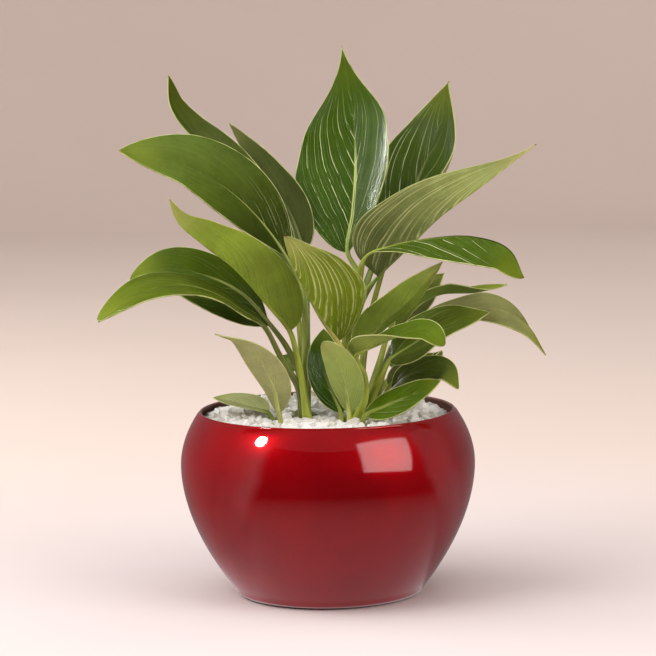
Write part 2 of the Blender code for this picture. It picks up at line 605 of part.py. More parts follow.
def turn(name, profile, material_name, steps=TURN_STEPS, smooth_angle=35):
    """A solid turned round the Z axis from a profile of (radius, height) that starts and ends on it."""
    bm = bmesh.new()
    verts = [bm.verts.new((r * MM, 0.0, z * MM)) for r, z in profile]
    edges = [bm.edges.new(two) for two in zip(verts[:-1], verts[1:])]
    bmesh.ops.spin(bm, geom=verts + edges, cent=(0, 0, 0), axis=(0, 0, 1), angle=2 * math.pi,
                   steps=steps, use_merge=True, use_duplicate=False)
    bmesh.ops.remove_doubles(bm, verts=bm.verts[:], dist=0.001 * MM)
    return object_from_bmesh(name, bm, material_name, smooth_angle)


def build_pot():
    """The bowl: a flat disc, a rounded foot, the belly and a thin rounded lip."""
    join = pot_radius(FOOT_ROUND)
    outside = [(0.0, 0.0)]
    for degrees in (0, 30, 60, 90):
        a = math.radians(degrees)
        outside.append((FOOT_RADIUS + (join - FOOT_RADIUS) * math.sin(a), FOOT_ROUND * (1 - math.cos(a))))
    outside += [(pot_radius(z), z) for z in (10, 21, 33, 45, 57, 68, 78, 86, 92)]
    half = WALL / 2
    middle = RIM_RADIUS - half
    lip = [(middle + half * math.cos(math.radians(d)), POT_HEIGHT - half + half * math.sin(math.radians(d)))
           for d in (0, 60, 120, 180)]
    inside = [(pot_radius(z) - WALL, z) for z in (91, 84) + INNER_LEVELS[::-1]]
    inside += [(join - WALL - 1.0, FOOT_ROUND + 0.6), (FOOT_RADIUS, WALL), (0.0, WALL)]
    return turn("pot", outside + lip + inside, "pot_red")


def build_soil():
    """The soil that fills the bowl up to the cover."""
    wall = WALL + GAP
    profile = [(0.0, WALL + GAP), (FOOT_RADIUS - 0.5, WALL + GAP),
               (pot_radius(FOOT_ROUND) - wall - 1.4, FOOT_ROUND + 1.2)]
    profile += [(pot_radius(z) - wall, z) for z in INNER_LEVELS]
    profile += [(pot_radius(SOIL_TOP) - wall, SOIL_TOP), (0.0, SOIL_TOP)]
    return turn("soil", profile, "soil_brown")


def cover_level(x, y):
    """Height of the chips' mean surface."""
    reach = math.hypot(x, y) / RIM_RADIUS
    return COVER_LEVEL + COVER_SLOPE * y - COVER_EDGE_DROP * min(reach, 1.0) ** 6


def ring_points(z, lift=0.0):
    """Points round the bowl's inner wall at height z, clear of it, in metres."""
    points = []
    for k in range(TURN_STEPS):
        turned = 2 * math.pi * k / TURN_STEPS
        height = z + lift * math.sin(turned)
        radius = pot_radius(height) - WALL - GAP
        points.append(Vector((radius * math.cos(turned), radius * math.sin(turned), height)) * MM)
    return points


def chip_top(rng, x, y, low_points):
    """Heights of the three corners of one chip's top; it lies low under a blade that hangs near it."""
    level = cover_level(x, y)
    near = np.hypot(low_points[:, 0] - x, low_points[:, 1] - y) < CHIP_PITCH * 0.85
    near &= low_points[:, 2] > level - VALLEY
    roof = low_points[near, 2].min() if near.any() else math.inf
    heights = [level + rng.uniform(*CHIP_TOP) for _ in range(3)]
    return [max(min(height, roof - 0.6), level - VALLEY + 0.4) for height in heights]


def build_gravel(low_points):
    """The cover: a layer whose top is a relief of angular chips, laid out by a seeded rule.

    low_points are points of the blades that hang near the cover; chips stay under them.
    """
    rng = random.Random(CHIP_SEED)
    bm = bmesh.new()
    edge_level = COVER_LEVEL - COVER_EDGE_DROP - 1.5
    levels = [(COVER_FLOOR, 0.0), (edge_level, COVER_SLOPE * RIM_RADIUS)]
    rings = [[bm.verts.new(point) for point in ring_points(z, lift)] for z, lift in levels]
    bm.faces.new(rings[0])
    for low, high in zip(rings[:-1], rings[1:]):
        for k in range(TURN_STEPS):
            after = (k + 1) % TURN_STEPS
            bm.faces.new((low[k], low[after], high[after], high[k]))

    corners = {}

    def corner(x, y):
        key = (round(x * 10), round(y * 10))
        if key not in corners:
            sx = x + rng.uniform(-0.9, 0.9)
            sy = y + rng.uniform(-0.9, 0.9)
            level = cover_level(sx, sy) - VALLEY + rng.uniform(-0.3, 0.3)
            corners[key] = bm.verts.new(Vector((sx, sy, level)) * MM)
        return corners[key]

    reach = CHIP_PITCH / math.sqrt(3)
    rows = int(RIM_RADIUS / CHIP_PITCH) + 3
    for row in range(-rows, rows + 1):
        for column in range(-2 * rows, 2 * rows + 1):
            x = (column + row / 2) * CHIP_PITCH
            y = row * CHIP_PITCH * math.sqrt(3) / 2
            if math.hypot(x, y) + reach > RIM_RADIUS - WALL - GAP - 1.6:
                continue
            turns = [math.radians(30 + 60 * k) for k in range(6)]
            outer = [corner(x + reach * math.cos(a), y + reach * math.sin(a)) for a in turns]
            first = rng.randrange(2)
            outer = outer[first:] + outer[:first]
            inner = []
            for k, height in enumerate(chip_top(rng, x, y, low_points)):
                toward = Vector((x, y, 0)) * MM
                spot = toward.lerp(outer[2 * k].co, rng.uniform(0.5, 0.74))
                inner.append(bm.verts.new((spot.x, spot.y, height * MM)))
            bm.faces.new(inner)
            for k in range(3):
                a, b, c = outer[2 * k - 1], outer[2 * k], outer[2 * k + 1]
                bm.faces.new((a, b, inner[k]))
                bm.faces.new((b, c, inner[k]))
                bm.faces.new((c, inner[(k + 1) % 3], inner[k]))
    open_edges = [edge for edge in bm.edges if edge.is_boundary]
    bmesh.ops.triangle_fill(bm, use_beauty=True, use_dissolve=False, edges=open_edges, normal=(0, 0, 1))
    return object_from_bmesh("gravel", bm, "marble_white")


def stem_cutters(top):
    """Cutters for the plain holes that the three stems stand in."""
    cutters = []
    for name, spec in CROWNS.items():
        cutters.append(stem(name + "_hole", spec, (CROWN_FOOT - GAP, CROWN_FOOT + 4, top),
                            ((0.6, 0.35), (0.92, 0.35), (1.0, 0.4))))
    return cutters


def low_stalk_cutters(leaves, spines, start, reach):
    """Cutters for the holes of the stalks that stand by themselves."""
    cutters = []
    for key, leaf in leaves.items():
        if leaf["crown"] is None:
            spine = spines[key]
            distance = np.linspace(start, reach, 5)
            radii = stalk_radius(leaf, spine, distance) + 0.5
            cutters.append(tube(key + "_hole", spine, distance, radii, 10))
    return cutters


def cut(target, cutters):
    """Cut the holes and leave one body."""
    for cutter in cutters:
        hide_cutter(cutter)
    boolean(target, cutters, "DIFFERENCE")
    keep_largest(target)


def build():
    """Model the whole plant in its bowl."""
    clear_scene()
    spines = {name: Spine(leaf) for name, leaf in LEAVES.items()}
    build_pot()
    soil = build_soil()
    cut(soil, stem_cutters(SOIL_TOP + 5) + low_stalk_cutters(LEAVES, spines, -1.0, 12.0))

    blades = [build_leaf(name, leaf, spines[name]) for name, leaf in LEAVES.items()]
    low = [tuple(vert.co / MM) for blade in blades for vert in blade.data.vertices
           if vert.co.z < (COVER_LEVEL + 12) * MM]
    for name in CROWNS:
        build_crown(name, LEAVES, spines)

    gravel = build_gravel(np.array(low))
    roots = [root_cutter(leaf, spines[name]) for name, leaf in LEAVES.items() if leaf["crown"]]
    cut(gravel, stem_cutters(CROWN_TOP + 12) + low_stalk_cutters(LEAVES, spines, 3.0, 21.0) + roots)


build()
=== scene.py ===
"""Potted birkin philodendron: leaves, stalks, marble cover and lacquered bowl over the CAD frame.

The leaf table and the bowl's figures are in millimetres and become metres when the meshes are made.
+Z is up and -Y is the front.
"""

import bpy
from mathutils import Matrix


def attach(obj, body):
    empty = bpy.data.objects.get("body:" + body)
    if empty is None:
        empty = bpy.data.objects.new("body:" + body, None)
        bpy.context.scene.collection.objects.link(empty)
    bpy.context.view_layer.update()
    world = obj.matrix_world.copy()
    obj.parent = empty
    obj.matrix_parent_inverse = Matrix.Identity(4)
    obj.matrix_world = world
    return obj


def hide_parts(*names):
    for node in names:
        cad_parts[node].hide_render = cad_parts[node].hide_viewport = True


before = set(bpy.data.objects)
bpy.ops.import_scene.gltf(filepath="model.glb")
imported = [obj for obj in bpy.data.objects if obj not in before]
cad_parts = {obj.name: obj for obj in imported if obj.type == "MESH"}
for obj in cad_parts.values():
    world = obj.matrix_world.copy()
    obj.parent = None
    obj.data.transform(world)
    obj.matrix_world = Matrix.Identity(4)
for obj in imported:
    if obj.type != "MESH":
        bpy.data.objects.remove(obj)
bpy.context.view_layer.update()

import logging
import math
import random
from contextlib import contextmanager
from dataclasses import dataclass
from enum import Enum
from typing import Callable, Dict, Iterator, List, Optional, Sequence, Tuple, Union

import bpy
import numpy as np
from mathutils import Matrix, Vector

LOG = logging.getLogger("birkin")

Point = Tuple[float, float, float]
Colour = Tuple[float, float, float]
Pair = Union[float, Tuple[float, float]]
Array = np.ndarray
Piece = bpy.types.Object
Node = bpy.types.Node
Material = bpy.types.Material

MM = 0.001
FULL_TURN = 2 * math.pi
STUB = 6.0                  # length of stalk that belongs to a blade's piece, mm
NECK_RADIUS = 1.3           # radius of a stalk where its blade starts, mm
SEED_STEP = 0.37            # from one leaf's seed to the next one's
SEED_SHIFT = 211.0          # how far apart two seeds lie along the streaks and blotches, mm

# Mean height of the chips, mm: in the middle, its rise per mm to the back, and its drop at the wall
COVER_LEVEL = 91.5
COVER_SLOPE = 0.05
COVER_EDGE_DROP = 4.5
COVER_EDGE_POWER = 6


# ---------------------------------------------------------------- named options

class Slot(Enum):
    """Names of material slots, one for each kind of piece."""

    BOWL = "pot_red"
    MARBLE = "marble_white"
    STALK = "stalk_green"
    LEAF_LIGHT = "leaf_light"
    LEAF_MIDDLE = "leaf_middle"
    LEAF_DARK = "leaf_dark"


class LeafSize(Enum):
    """Grid of a blade: rows from its neck to its tip."""

    LARGE = 84
    SMALL = 52


class Face(Enum):
    """The material slots of a blade's mesh, in their order."""

    TOP = 0
    UNDER = 1
    MARGIN = 2
    STALK = 3


class Side(Enum):
    """The material slots of the bowl's mesh, in their order."""

    OUTSIDE = 0
    INSIDE = 1


# ---------------------------------------------------------------- finishes

@dataclass(frozen=True)
class LeafFinish:
    """The skin of one side of a blade; colours are linear, lengths in mm."""

    name: str
    tone: str                     # the attribute that holds the leaf's own green, darkened by painted shade towards the neck
    stripe_channel: int           # which part of leaf_trait holds the strength of the pinstripes
    stripe: Colour
    midrib: Colour
    midrib_width: float
    margin: Colour
    margin_width: float
    tip: Colour
    bow: float                    # how late the veins bend towards the tip
    core: float                   # how crisp the pinstripes are, up to 1
    mottle: float
    roughness: float
    specular: float
    relief: float
    dry: Colour = (0.20, 0.11, 0.03)


@dataclass(frozen=True)
class StalkFinish:
    """Leaf stalks: streaked along their length."""

    name: str = "stalk_streaked"
    streak: Colour = (0.56, 0.60, 0.20)
    shade: float = 0.5
    roughness: float = 0.32


@dataclass(frozen=True)
class LacquerFinish:
    """Clear lacquer over a red metal ground."""

    name: str = "bowl_lacquer"
    ground: Colour = (0.218, 0.0005, 0.002)
    deep: Colour = (0.148, 0.0004, 0.0020)
    flake: Colour = (0.42, 0.02, 0.03)
    roughness: float = 0.34
    metallic: float = 0.35
    coat: float = 0.80
    coat_roughness: float = 0.045


@dataclass(frozen=True)
class InsideFinish:
    """The bare brown inside of the bowl."""

    name: str = "bowl_inside"
    light: Colour = (0.180, 0.066, 0.050)
    dark: Colour = (0.085, 0.035, 0.027)
    roughness: float = 0.42


@dataclass(frozen=True)
class MarbleFinish:
    """Crushed white marble."""

    name: str = "marble_crushed"
    white: Colour = (0.93, 0.92, 0.905)
    vein: Colour = (0.58, 0.54, 0.47)
    roughness: float = 0.55


@dataclass(frozen=True)
class SoilFinish:
    """Dark potting mix."""

    name: str = "soil_crumbly"
    light: Colour = (0.060, 0.036, 0.020)
    dark: Colour = (0.012, 0.008, 0.005)


@dataclass(frozen=True)
class StudioFinish:
    """The floor, and the cloth of the cards: two tones of each, and of the cloth's light."""

    floor: Tuple[Colour, Colour] = ((0.655, 0.548, 0.495), (0.694, 0.587, 0.533))
    floor_near: Colour = (0.632, 0.560, 0.555)      # under the bowl
    cloth: Tuple[Colour, Colour] = ((0.008, 0.007, 0.007), (0.02, 0.017, 0.016))
    light: Tuple[Colour, Colour] = ((1.0, 0.87, 0.89), (0.96, 0.84, 0.86))


LEAF_TOP = LeafFinish(
    name="leaf_top", tone="leaf_green", stripe_channel=1, stripe=(0.84, 0.88, 0.50),
    midrib=(0.62, 0.70, 0.22), midrib_width=1.5, margin=(0.66, 0.70, 0.28), margin_width=0.44,
    tip=(0.27, 0.34, 0.03), bow=1.15, core=0.3, mottle=0.42, roughness=0.20, specular=0.28,
    relief=0.42)
LEAF_UNDER = LeafFinish(
    name="leaf_under", tone="leaf_green_under", stripe_channel=2, stripe=(0.70, 0.73, 0.34),
    midrib=(0.26, 0.30, 0.08), midrib_width=0.8, margin=(0.56, 0.58, 0.24), margin_width=0.42,
    tip=(0.42, 0.41, 0.13), bow=1.3, core=-0.6, mottle=0.42, roughness=0.5, specular=0.18,
    relief=0.45)
LEAF_RIM = LeafFinish(
    name="leaf_rim", tone="leaf_green_under", stripe_channel=2, stripe=(0.50, 0.52, 0.30),
    midrib=(0.34, 0.38, 0.10), midrib_width=0.01, margin=(0.40, 0.43, 0.17), margin_width=5.0,
    tip=(0.36, 0.34, 0.10), bow=1.2, core=0.0, mottle=0.2, roughness=0.5, specular=0.2, relief=0.1)
# painted shade: the dark marble of the sheet under the chips stands for the shade in their gaps
MARBLE_GAP_SHADE = MarbleFinish("marble_gap_shade", (0.20, 0.18, 0.15), (0.24, 0.20, 0.15), 0.8)


# ---------------------------------------------------------------- shader wiring

class Value:
    """A socket of a graph that can be written in arithmetic."""

    def __init__(self, graph: "Graph", socket: bpy.types.NodeSocket) -> None:
        """Note the socket and its graph."""
        self.graph, self.socket = graph, socket

    def __add__(self, other: object) -> "Value":
        """The sum."""
        return self.graph.math("ADD", self, other)

    def __sub__(self, other: object) -> "Value":
        """The difference."""
        return self.graph.math("SUBTRACT", self, other)

    def __mul__(self, other: object) -> "Value":
        """The product."""
        return self.graph.math("MULTIPLY", self, other)

    def __truediv__(self, other: object) -> "Value":
        """The quotient."""
        return self.graph.math("DIVIDE", self, other)

    def __pow__(self, other: object) -> "Value":
        """The power."""
        return self.graph.math("POWER", self, other)

    def __abs__(self) -> "Value":
        """The value without its sign."""
        return self.graph.math("ABSOLUTE", self)


class Graph:
    """A shader node tree that is being wired."""

    def __init__(self, tree: bpy.types.NodeTree) -> None:
        """Start with an empty tree."""
        self.tree = tree
        tree.nodes.clear()

    def add(self, kind: str, **settings: object) -> Node:
        """Add a node of Blender's kind, with these attributes set."""
        node = self.tree.nodes.new(kind)
        for key, value in settings.items():
            setattr(node, key, value)
        return node

    def feed(self, socket: bpy.types.NodeSocket, value: object) -> None:
        """Link a value to the input, or set the input's own value."""
        if isinstance(value, Value):
            self.tree.links.new(value.socket, socket)
        elif isinstance(value, tuple) and socket.type == "RGBA":
            socket.default_value = (*value, 1.0)
        else:
            socket.default_value = value

    def fill(self, node: Node, **values: object) -> None:
        """Feed inputs by their names, with a space written as an underscore."""
        for key, value in values.items():
            self.feed(node.inputs[key.replace("_", " ")], value)

    def wire(self, kind: str, values: Sequence[object], output: int = 0,
             **settings: object) -> Value:
        """Add a node and feed its first inputs.

        Args:
            kind: Blender's name of the node type.
            values: What the inputs get, in their order.
            output: Which output to give back.
            settings: Attributes of the node to set.

        Returns:
            The output.
        """
        node = self.add(kind, **settings)
        for socket, value in zip(node.inputs, values):
            self.feed(socket, value)
        return Value(self, node.outputs[output])

    def math(self, operation: str, *values: object, clamp: bool = False) -> Value:
        """Combine one to three numbers; clamp keeps the result between 0 and 1."""
        return self.wire("ShaderNodeMath", values, operation=operation, use_clamp=clamp)

    def mix(self, factor: object, first: object, second: object, blend: str = "MIX") -> Value:
        """Mix two colours.

        Args:
            factor: How much of the second colour.
            first: A colour or its value in the graph.
            second: A colour or its value in the graph.
            blend: Blender's name of the blend.

        Returns:
            The colour.
        """
        node = self.add("ShaderNodeMix", data_type="RGBA", blend_type=blend)
        for index, value in ((0, factor), (6, first), (7, second)):
            self.feed(node.inputs[index], value)
        return Value(self, node.outputs[2])

    def step(self, value: object, low: object, high: object, to_low: float = 0.0,
             to_high: float = 1.0) -> Value:
        """A smooth step from to_low to to_high as the value goes from low to high."""
        return self.wire("ShaderNodeMapRange", (value, low, high, to_low, to_high),
                         interpolation_type="SMOOTHSTEP", clamp=True)

    def noise(self, vector: Value, scale: float, detail: float = 2.0,
              roughness: float = 0.5) -> Value:
        """Soft noise from 0 to 1 at the given place."""
        node = self.add("ShaderNodeTexNoise")
        self.fill(node, Vector=vector, Scale=scale, Detail=detail, Roughness=roughness)
        return Value(self, node.outputs["Fac"])

    def stretch(self, vector: Value, scale: Point) -> Value:
        """The vector with each part scaled."""
        return self.wire("ShaderNodeVectorMath", (vector, scale), operation="MULTIPLY")

    def split(self, vector: Value) -> Tuple[Value, ...]:
        """The three parts of a vector."""
        node = self.add("ShaderNodeSeparateXYZ")
        self.feed(node.inputs[0], vector)
        return tuple(Value(self, socket) for socket in node.outputs)

    def join(self, x: object, y: object, z: object) -> Value:
        """A vector from its three parts."""
        return self.wire("ShaderNodeCombineXYZ", (x, y, z))

    def attribute(self, name: str) -> Value:
        """The vector that the piece's named attribute holds."""
        return Value(self, self.add("ShaderNodeAttribute", attribute_name=name).outputs["Vector"])

    def place(self) -> Value:
        """Object coordinates in mm."""
        metres = Value(self, self.add("ShaderNodeTexCoord").outputs["Object"])
        return self.stretch(metres, (1 / MM,) * 3)

    def emboss(self, shader: Node, height: Value, distance: float, strength: float = 1.0) -> None:
        """Bump the shader by a height; distance is the relief's depth in metres."""
        bump = self.add("ShaderNodeBump")
        self.fill(bump, Strength=strength, Distance=distance, Height=height)
        self.fill(shader, Normal=Value(self, bump.outputs[0]))


class Group(Graph):
    """A shared shader node group."""

    def __init__(self, name: str, inputs: Dict[str, str], outputs: Dict[str, str]) -> None:
        """Make the group's tree and its sockets.

        Args:
            name: Name of the group.
            inputs: Names of its inputs by their kind (Float, Vector or Color), with spaces between.
            outputs: Names of its outputs likewise.
        """
        super().__init__(bpy.data.node_groups.new(name, "ShaderNodeTree"))
        for way, kinds in (("INPUT", inputs), ("OUTPUT", outputs)):
            for kind, names in kinds.items():
                for key in names.split():
                    self.tree.interface.new_socket(name=key.replace("_", " "), in_out=way,
                                                   socket_type="NodeSocket" + kind)
        source = self.add("NodeGroupInput")
        self.given = {socket.name: Value(self, socket) for socket in source.outputs}
        self.result = self.add("NodeGroupOutput")

    def use(self, graph: Graph, **values: object) -> Dict[str, Value]:
        """Place the group in another tree.

        Args:
            graph: The tree that uses it.
            values: Inputs by name, with a space written as an underscore.

        Returns:
            The outputs of the placed group by name.
        """
        node = graph.add("ShaderNodeGroup", node_tree=self.tree)
        graph.fill(node, **values)
        return {socket.name: Value(graph, socket) for socket in node.outputs}


def pinstripe_group() -> Group:
    """The birkin's pinstripes: fine broken lines that leave the midrib and sweep to the tip.

    Returns:
        The node group; its mask is 1 on a stripe.
    """
    group = Group("pinstripes", {"Vector": "Place", "Float": "Vein Pitch Width Presence Seed Core"},
                  {"Float": "Mask"})
    given = group.given
    across, _, _ = group.split(given["Place"])
    line = given["Vein"] / given["Pitch"]

    # each stripe has its own place in its cell, its own width and its own chance to be there
    chance = group.add("ShaderNodeTexWhiteNoise", noise_dimensions="3D")
    group.fill(chance, Vector=group.join(group.math("FLOOR", line), group.math("SIGN", across),
                                         given["Seed"]))
    shift, breadth, present = group.split(Value(group, chance.outputs["Color"]))
    width = given["Width"] * (breadth * 0.9 + 0.4)
    away = abs(group.math("FRACT", line) - (shift * 0.5 + 0.25))
    mask = group.step(away, width, width * given["Core"])
    shown = group.math("LESS_THAN", present, given["Presence"])
    dash = group.noise(group.join(abs(across) * 0.3, line * 1.7, given["Seed"]), 1.0, 3.0)
    group.fill(group.result, Mask=mask * shown * group.step(dash, 0.38, 0.52, 0.05, 1.0))
    return group


def leaf_skin_group(stripes: Group) -> Group:
    """Colour, roughness and relief of one side of a blade.

    Args:
        stripes: The pinstripe group.

    Returns:
        The node group.
    """
    group = Group("leaf_skin", {
        "Vector": "Place Own Veins", "Color": "Green Stripe Midrib Margin Tip Dry",
        "Float": "Span Strength Midrib_Width Margin_Width Bow Core Mottle Gloss Relief"},
        {"Color": "Color", "Float": "Roughness Height"})
    given = group.given
    span, rim_width = given["Span"], given["Margin Width"]
    across, along, edge = group.split(given["Place"])
    seed, rib_strength, tip_strength = group.split(given["Own"])
    pitch, swept, width = group.split(given["Veins"])
    place = group.join(across, seed * SEED_SHIFT + along, seed)
    reach = abs(across)

    # a vein leaves the midrib at a slant and bows on towards the tip
    out = reach / (reach + edge + 0.05)
    length = along / group.math("MAXIMUM", span, 0.001)
    sweep = swept * out ** given["Bow"] * (span * 0.6 + 0.72)
    vein = along - sweep * length + group.noise(place, 0.05) * 7.0

    # bold stripes, and finer and fainter ones between them
    shared = {"Place": given["Place"], "Vein": vein, "Width": width, "Core": given["Core"]}
    main = stripes.use(group, Pitch=pitch, Presence=0.82, Seed=seed, **shared)["Mask"]
    fine = stripes.use(group, Pitch=pitch * 0.37, Presence=0.45, Seed=seed + 5.0, **shared)["Mask"]
    line = group.math("MAXIMUM", main, fine * 0.42)

    # the green varies in blotches, in specks and from vein to vein
    ribs = group.math("SINE", vein * 1.9)
    broad = group.noise(group.join(vein * 0.35, reach * 0.05, seed), 1.0)
    blotch = group.noise(place, 0.08, 3.0, 0.6)
    speck = group.noise(place, 0.8, 3.0, 0.7)
    tone = (blotch - 0.5) * 1.6 + (speck - 0.5) * 0.9 + (broad - 0.5) * 1.3 + ribs * 0.13
    bright = tone * given["Mottle"] + 1.0
    colour = group.mix(1.0, given["Green"], group.join(bright, bright, bright * 0.96), "MULTIPLY")

    # over it lie the yellow tip, the stripes, the midrib, the margin and the dry point
    colour = group.mix(group.step(span, 0.70, 1.0) * tip_strength, colour, given["Tip"])
    strength = group.math("MULTIPLY", line, given["Strength"], clamp=True)
    colour = group.mix(strength, colour, given["Stripe"])
    narrow = group.math("SUBTRACT", 1.0, span, clamp=True) ** 0.8
    half = given["Midrib Width"] * (narrow * 0.9 + 0.1)
    rib = group.step(reach, half, half * 0.4) * group.step(span, 0.60, 0.36, 0.04, 1.0)
    colour = group.mix(rib * rib_strength, colour, given["Midrib"])
    worn = group.step(group.noise(place, 0.12), 0.3, 0.6, 0.35, 1.0)
    rim = group.step(edge, rim_width, rim_width * 0.35) * worn
    colour = group.mix(rim, colour, given["Margin"])
    dry = group.step(span, 0.982, 0.999) * group.step(seed, 1.5, 2.5, 0.9, 0.4)
    colour = group.mix(dry, colour, given["Dry"])

    rough = (blotch - 0.5) * 0.22 + given["Gloss"]
    height = broad * 2.5 + (ribs * 0.45 + speck * 0.8) + line * 0.4
    group.fill(group.result, Color=colour, Height=height * given["Relief"],
               Roughness=group.math("MULTIPLY_ADD", strength, 0.06, rough, clamp=True))
    return group


class Palette:
    """Makes each finish's material once."""

    def __init__(self) -> None:
        """Make the shared groups."""
        self.skin = leaf_skin_group(pinstripe_group())
        self.made: Dict[str, Material] = {}

    def start(self, name: str,
              kind: str = "ShaderNodeBsdfPrincipled") -> Tuple[Material, Graph, Node]:
        """A new material with one shader wired to its output.

        Args:
            name: Name of the material.
            kind: Blender's name of the shader node.

        Returns:
            The material, its graph and the shader.
        """
        material = bpy.data.materials.new(name)
        material.use_nodes = True
        graph = Graph(material.node_tree)
        shader = graph.add(kind)
        graph.fill(graph.add("ShaderNodeOutputMaterial"), Surface=Value(graph, shader.outputs[0]))
        self.made[name] = material
        return material, graph, shader

    def leaf(self, finish: LeafFinish) -> Material:
        """The material of one side of the blades, which reads the blade's own attributes."""
        if finish.name in self.made:
            return self.made[finish.name]
        material, graph, shader = self.start(finish.name)
        trait = graph.split(graph.attribute("leaf_trait"))
        skin = self.skin.use(
            graph, Place=graph.attribute("leaf_place"), Green=graph.attribute(finish.tone),
            Span=trait[0], Own=graph.attribute("leaf_own"), Veins=graph.attribute("leaf_veins"),
            Strength=trait[finish.stripe_channel], Stripe=finish.stripe, Midrib=finish.midrib,
            Midrib_Width=finish.midrib_width, Margin=finish.margin,
            Margin_Width=finish.margin_width, Tip=finish.tip, Bow=finish.bow, Core=finish.core,
            Mottle=finish.mottle, Gloss=finish.roughness, Relief=finish.relief, Dry=finish.dry)
        graph.fill(shader, Base_Color=skin["Color"], Roughness=skin["Roughness"],
                   Specular_IOR_Level=finish.specular)
        graph.emboss(shader, skin["Height"], 0.00016)
        return material

    def stalk(self, finish: StalkFinish) -> Material:
        """The material of stalks, stems and midribs: each stalk's own green with paler streaks."""
        if finish.name in self.made:
            return self.made[finish.name]
        material, graph, shader = self.start(finish.name)
        place = graph.attribute("leaf_place")
        green = graph.attribute("stalk_green")
        streak = graph.noise(graph.stretch(place, (1.3, 0.045, 0.0)), 1.0, 3.0, 0.6)
        patch = graph.noise(graph.stretch(place, (0.25, 0.05, 0.0)), 1.0)
        shaded = graph.mix(1.0, green, (finish.shade,) * 3, "MULTIPLY")
        colour = graph.mix(graph.step(patch, 0.35, 0.7), green, shaded)
        colour = graph.mix(graph.step(streak, 0.52, 0.74, 0.0, 0.5), colour, finish.streak)
        graph.fill(shader, Base_Color=colour, Roughness=patch * 0.2 + (finish.roughness - 0.1))
        graph.emboss(shader, streak, 0.00015)
        return material

    def lacquer(self, finish: LacquerFinish) -> Material:
        """The bowl's glossy red outside."""
        material, graph, shader = self.start(finish.name)
        place = graph.place()
        cloud = graph.noise(place, 0.025, 3.0, 0.55)
        flake = graph.noise(place, 2.6, 2.0, 0.7)
        colour = graph.mix(graph.step(cloud, 0.3, 0.7, 0.0, 0.8), finish.ground, finish.deep)
        colour = graph.mix(graph.step(flake, 0.5, 0.8, 0.0, 0.25), colour, finish.flake)
        graph.fill(shader, Base_Color=colour, Roughness=(cloud - 0.5) * 0.12 + finish.roughness,
                   Metallic=finish.metallic, Specular_IOR_Level=0.0, Coat_Weight=finish.coat,
                   Coat_Roughness=finish.coat_roughness)
        graph.emboss(shader, graph.noise(place, 0.35), 0.00006, 0.6)
        return material

    def inside(self, finish: InsideFinish) -> Material:
        """The brown inside of the bowl."""
        material, graph, shader = self.start(finish.name)
        place = graph.place()
        cloud = graph.noise(place, 0.12, 4.0, 0.6)
        colour = graph.mix(graph.step(cloud, 0.3, 0.7), finish.light, finish.dark)
        graph.fill(shader, Base_Color=colour,
                   Roughness=cloud * 0.2 + (finish.roughness - 0.1))
        graph.emboss(shader, graph.noise(place, 1.2, 3.0), 0.0001, 0.5)
        return material

    def marble(self, finish: MarbleFinish) -> Material:
        """Crushed marble; each chip's own tint comes from its attribute."""
        material, graph, shader = self.start(finish.name)
        place = graph.place()
        tint, _, _ = graph.split(graph.attribute("chip_tint"))
        cloud = graph.noise(place, 0.35, 4.0, 0.65)
        grain = graph.noise(place, 3.0, 3.0, 0.7)
        shade = graph.math("MULTIPLY_ADD", graph.step(cloud, 0.45, 0.75), 0.3, tint * 0.75,
                           clamp=True)
        graph.fill(shader, Base_Color=graph.mix(shade, finish.white, finish.vein),
                   Roughness=grain * 0.3 + (finish.roughness - 0.15))
        graph.emboss(shader, grain, 0.00025, 0.7)
        return material

    def soil(self, finish: SoilFinish) -> Material:
        """Potting mix, seen only in the gaps of the cover."""
        material, graph, shader = self.start(finish.name)
        crumb = graph.noise(graph.place(), 0.9, 5.0, 0.7)
        colour = graph.mix(graph.step(crumb, 0.35, 0.7), finish.dark, finish.light)
        graph.fill(shader, Base_Color=colour, Roughness=crumb * 0.2 + 0.8)
        graph.emboss(shader, crumb, 0.0012)
        return material

    def card(self, finish: StudioFinish) -> Material:
        """The cloth of the studio's cards; its brightness comes from the card's attribute."""
        material, graph, shader = self.start("studio_card")
        tone, _, _ = graph.split(graph.attribute("card_place"))
        weave = graph.noise(graph.place(), 0.8)
        graph.fill(shader, Base_Color=graph.mix(weave, *finish.cloth), Roughness=0.95,
                   Emission_Color=graph.mix(weave, *finish.light), Emission_Strength=tone)
        return material

    def glow(self, name: str, colour: Colour, strength: float, soft: float) -> Material:
        """The light of a soft box, which fades towards its edges.

        Args:
            name: Name of the material.
            colour: Colour of the light.
            strength: Brightness in the middle.
            soft: Width of the fading edge, as a part of the half size.

        Returns:
            The material, which reads the card's place from -1 to 1 and is clear where it is dark.
        """
        material, graph, shader = self.start(name, "ShaderNodeAddShader")
        across, up, _ = graph.split(graph.attribute("card_place"))
        share, level = (graph.step(abs(value), 1.0, 1.0 - soft) for value in (across, up))
        light = graph.add("ShaderNodeEmission")
        graph.fill(light, Color=graph.mix(level, (0.0, 0.0, 0.0), colour),
                   Strength=share * strength)
        clear = graph.add("ShaderNodeBsdfTransparent")
        for socket, node in zip(shader.inputs, (light, clear)):
            graph.feed(socket, Value(graph, node.outputs[0]))
        return material

    def floor(self, finish: StudioFinish) -> Material:
        """The pale studio floor."""
        material, graph, shader = self.start("studio_floor")
        place = graph.place()
        away = graph.add("ShaderNodeVectorMath", operation="LENGTH")
        graph.feed(away.inputs[0], place)
        near = graph.step(Value(graph, away.outputs["Value"]), 500.0, 100.0)
        far = graph.mix(graph.noise(place, 0.003, 3.0), *finish.floor)
        graph.fill(shader, Base_Color=graph.mix(near, far, finish.floor_near), Roughness=0.7,
                   Specular_IOR_Level=0.0)
        return material


# ---------------------------------------------------------------- meshes

def unit(vectors: object) -> Array:
    """Vectors of length one."""
    array = np.asarray(vectors, float)
    return array / np.linalg.norm(array, axis=-1, keepdims=True)


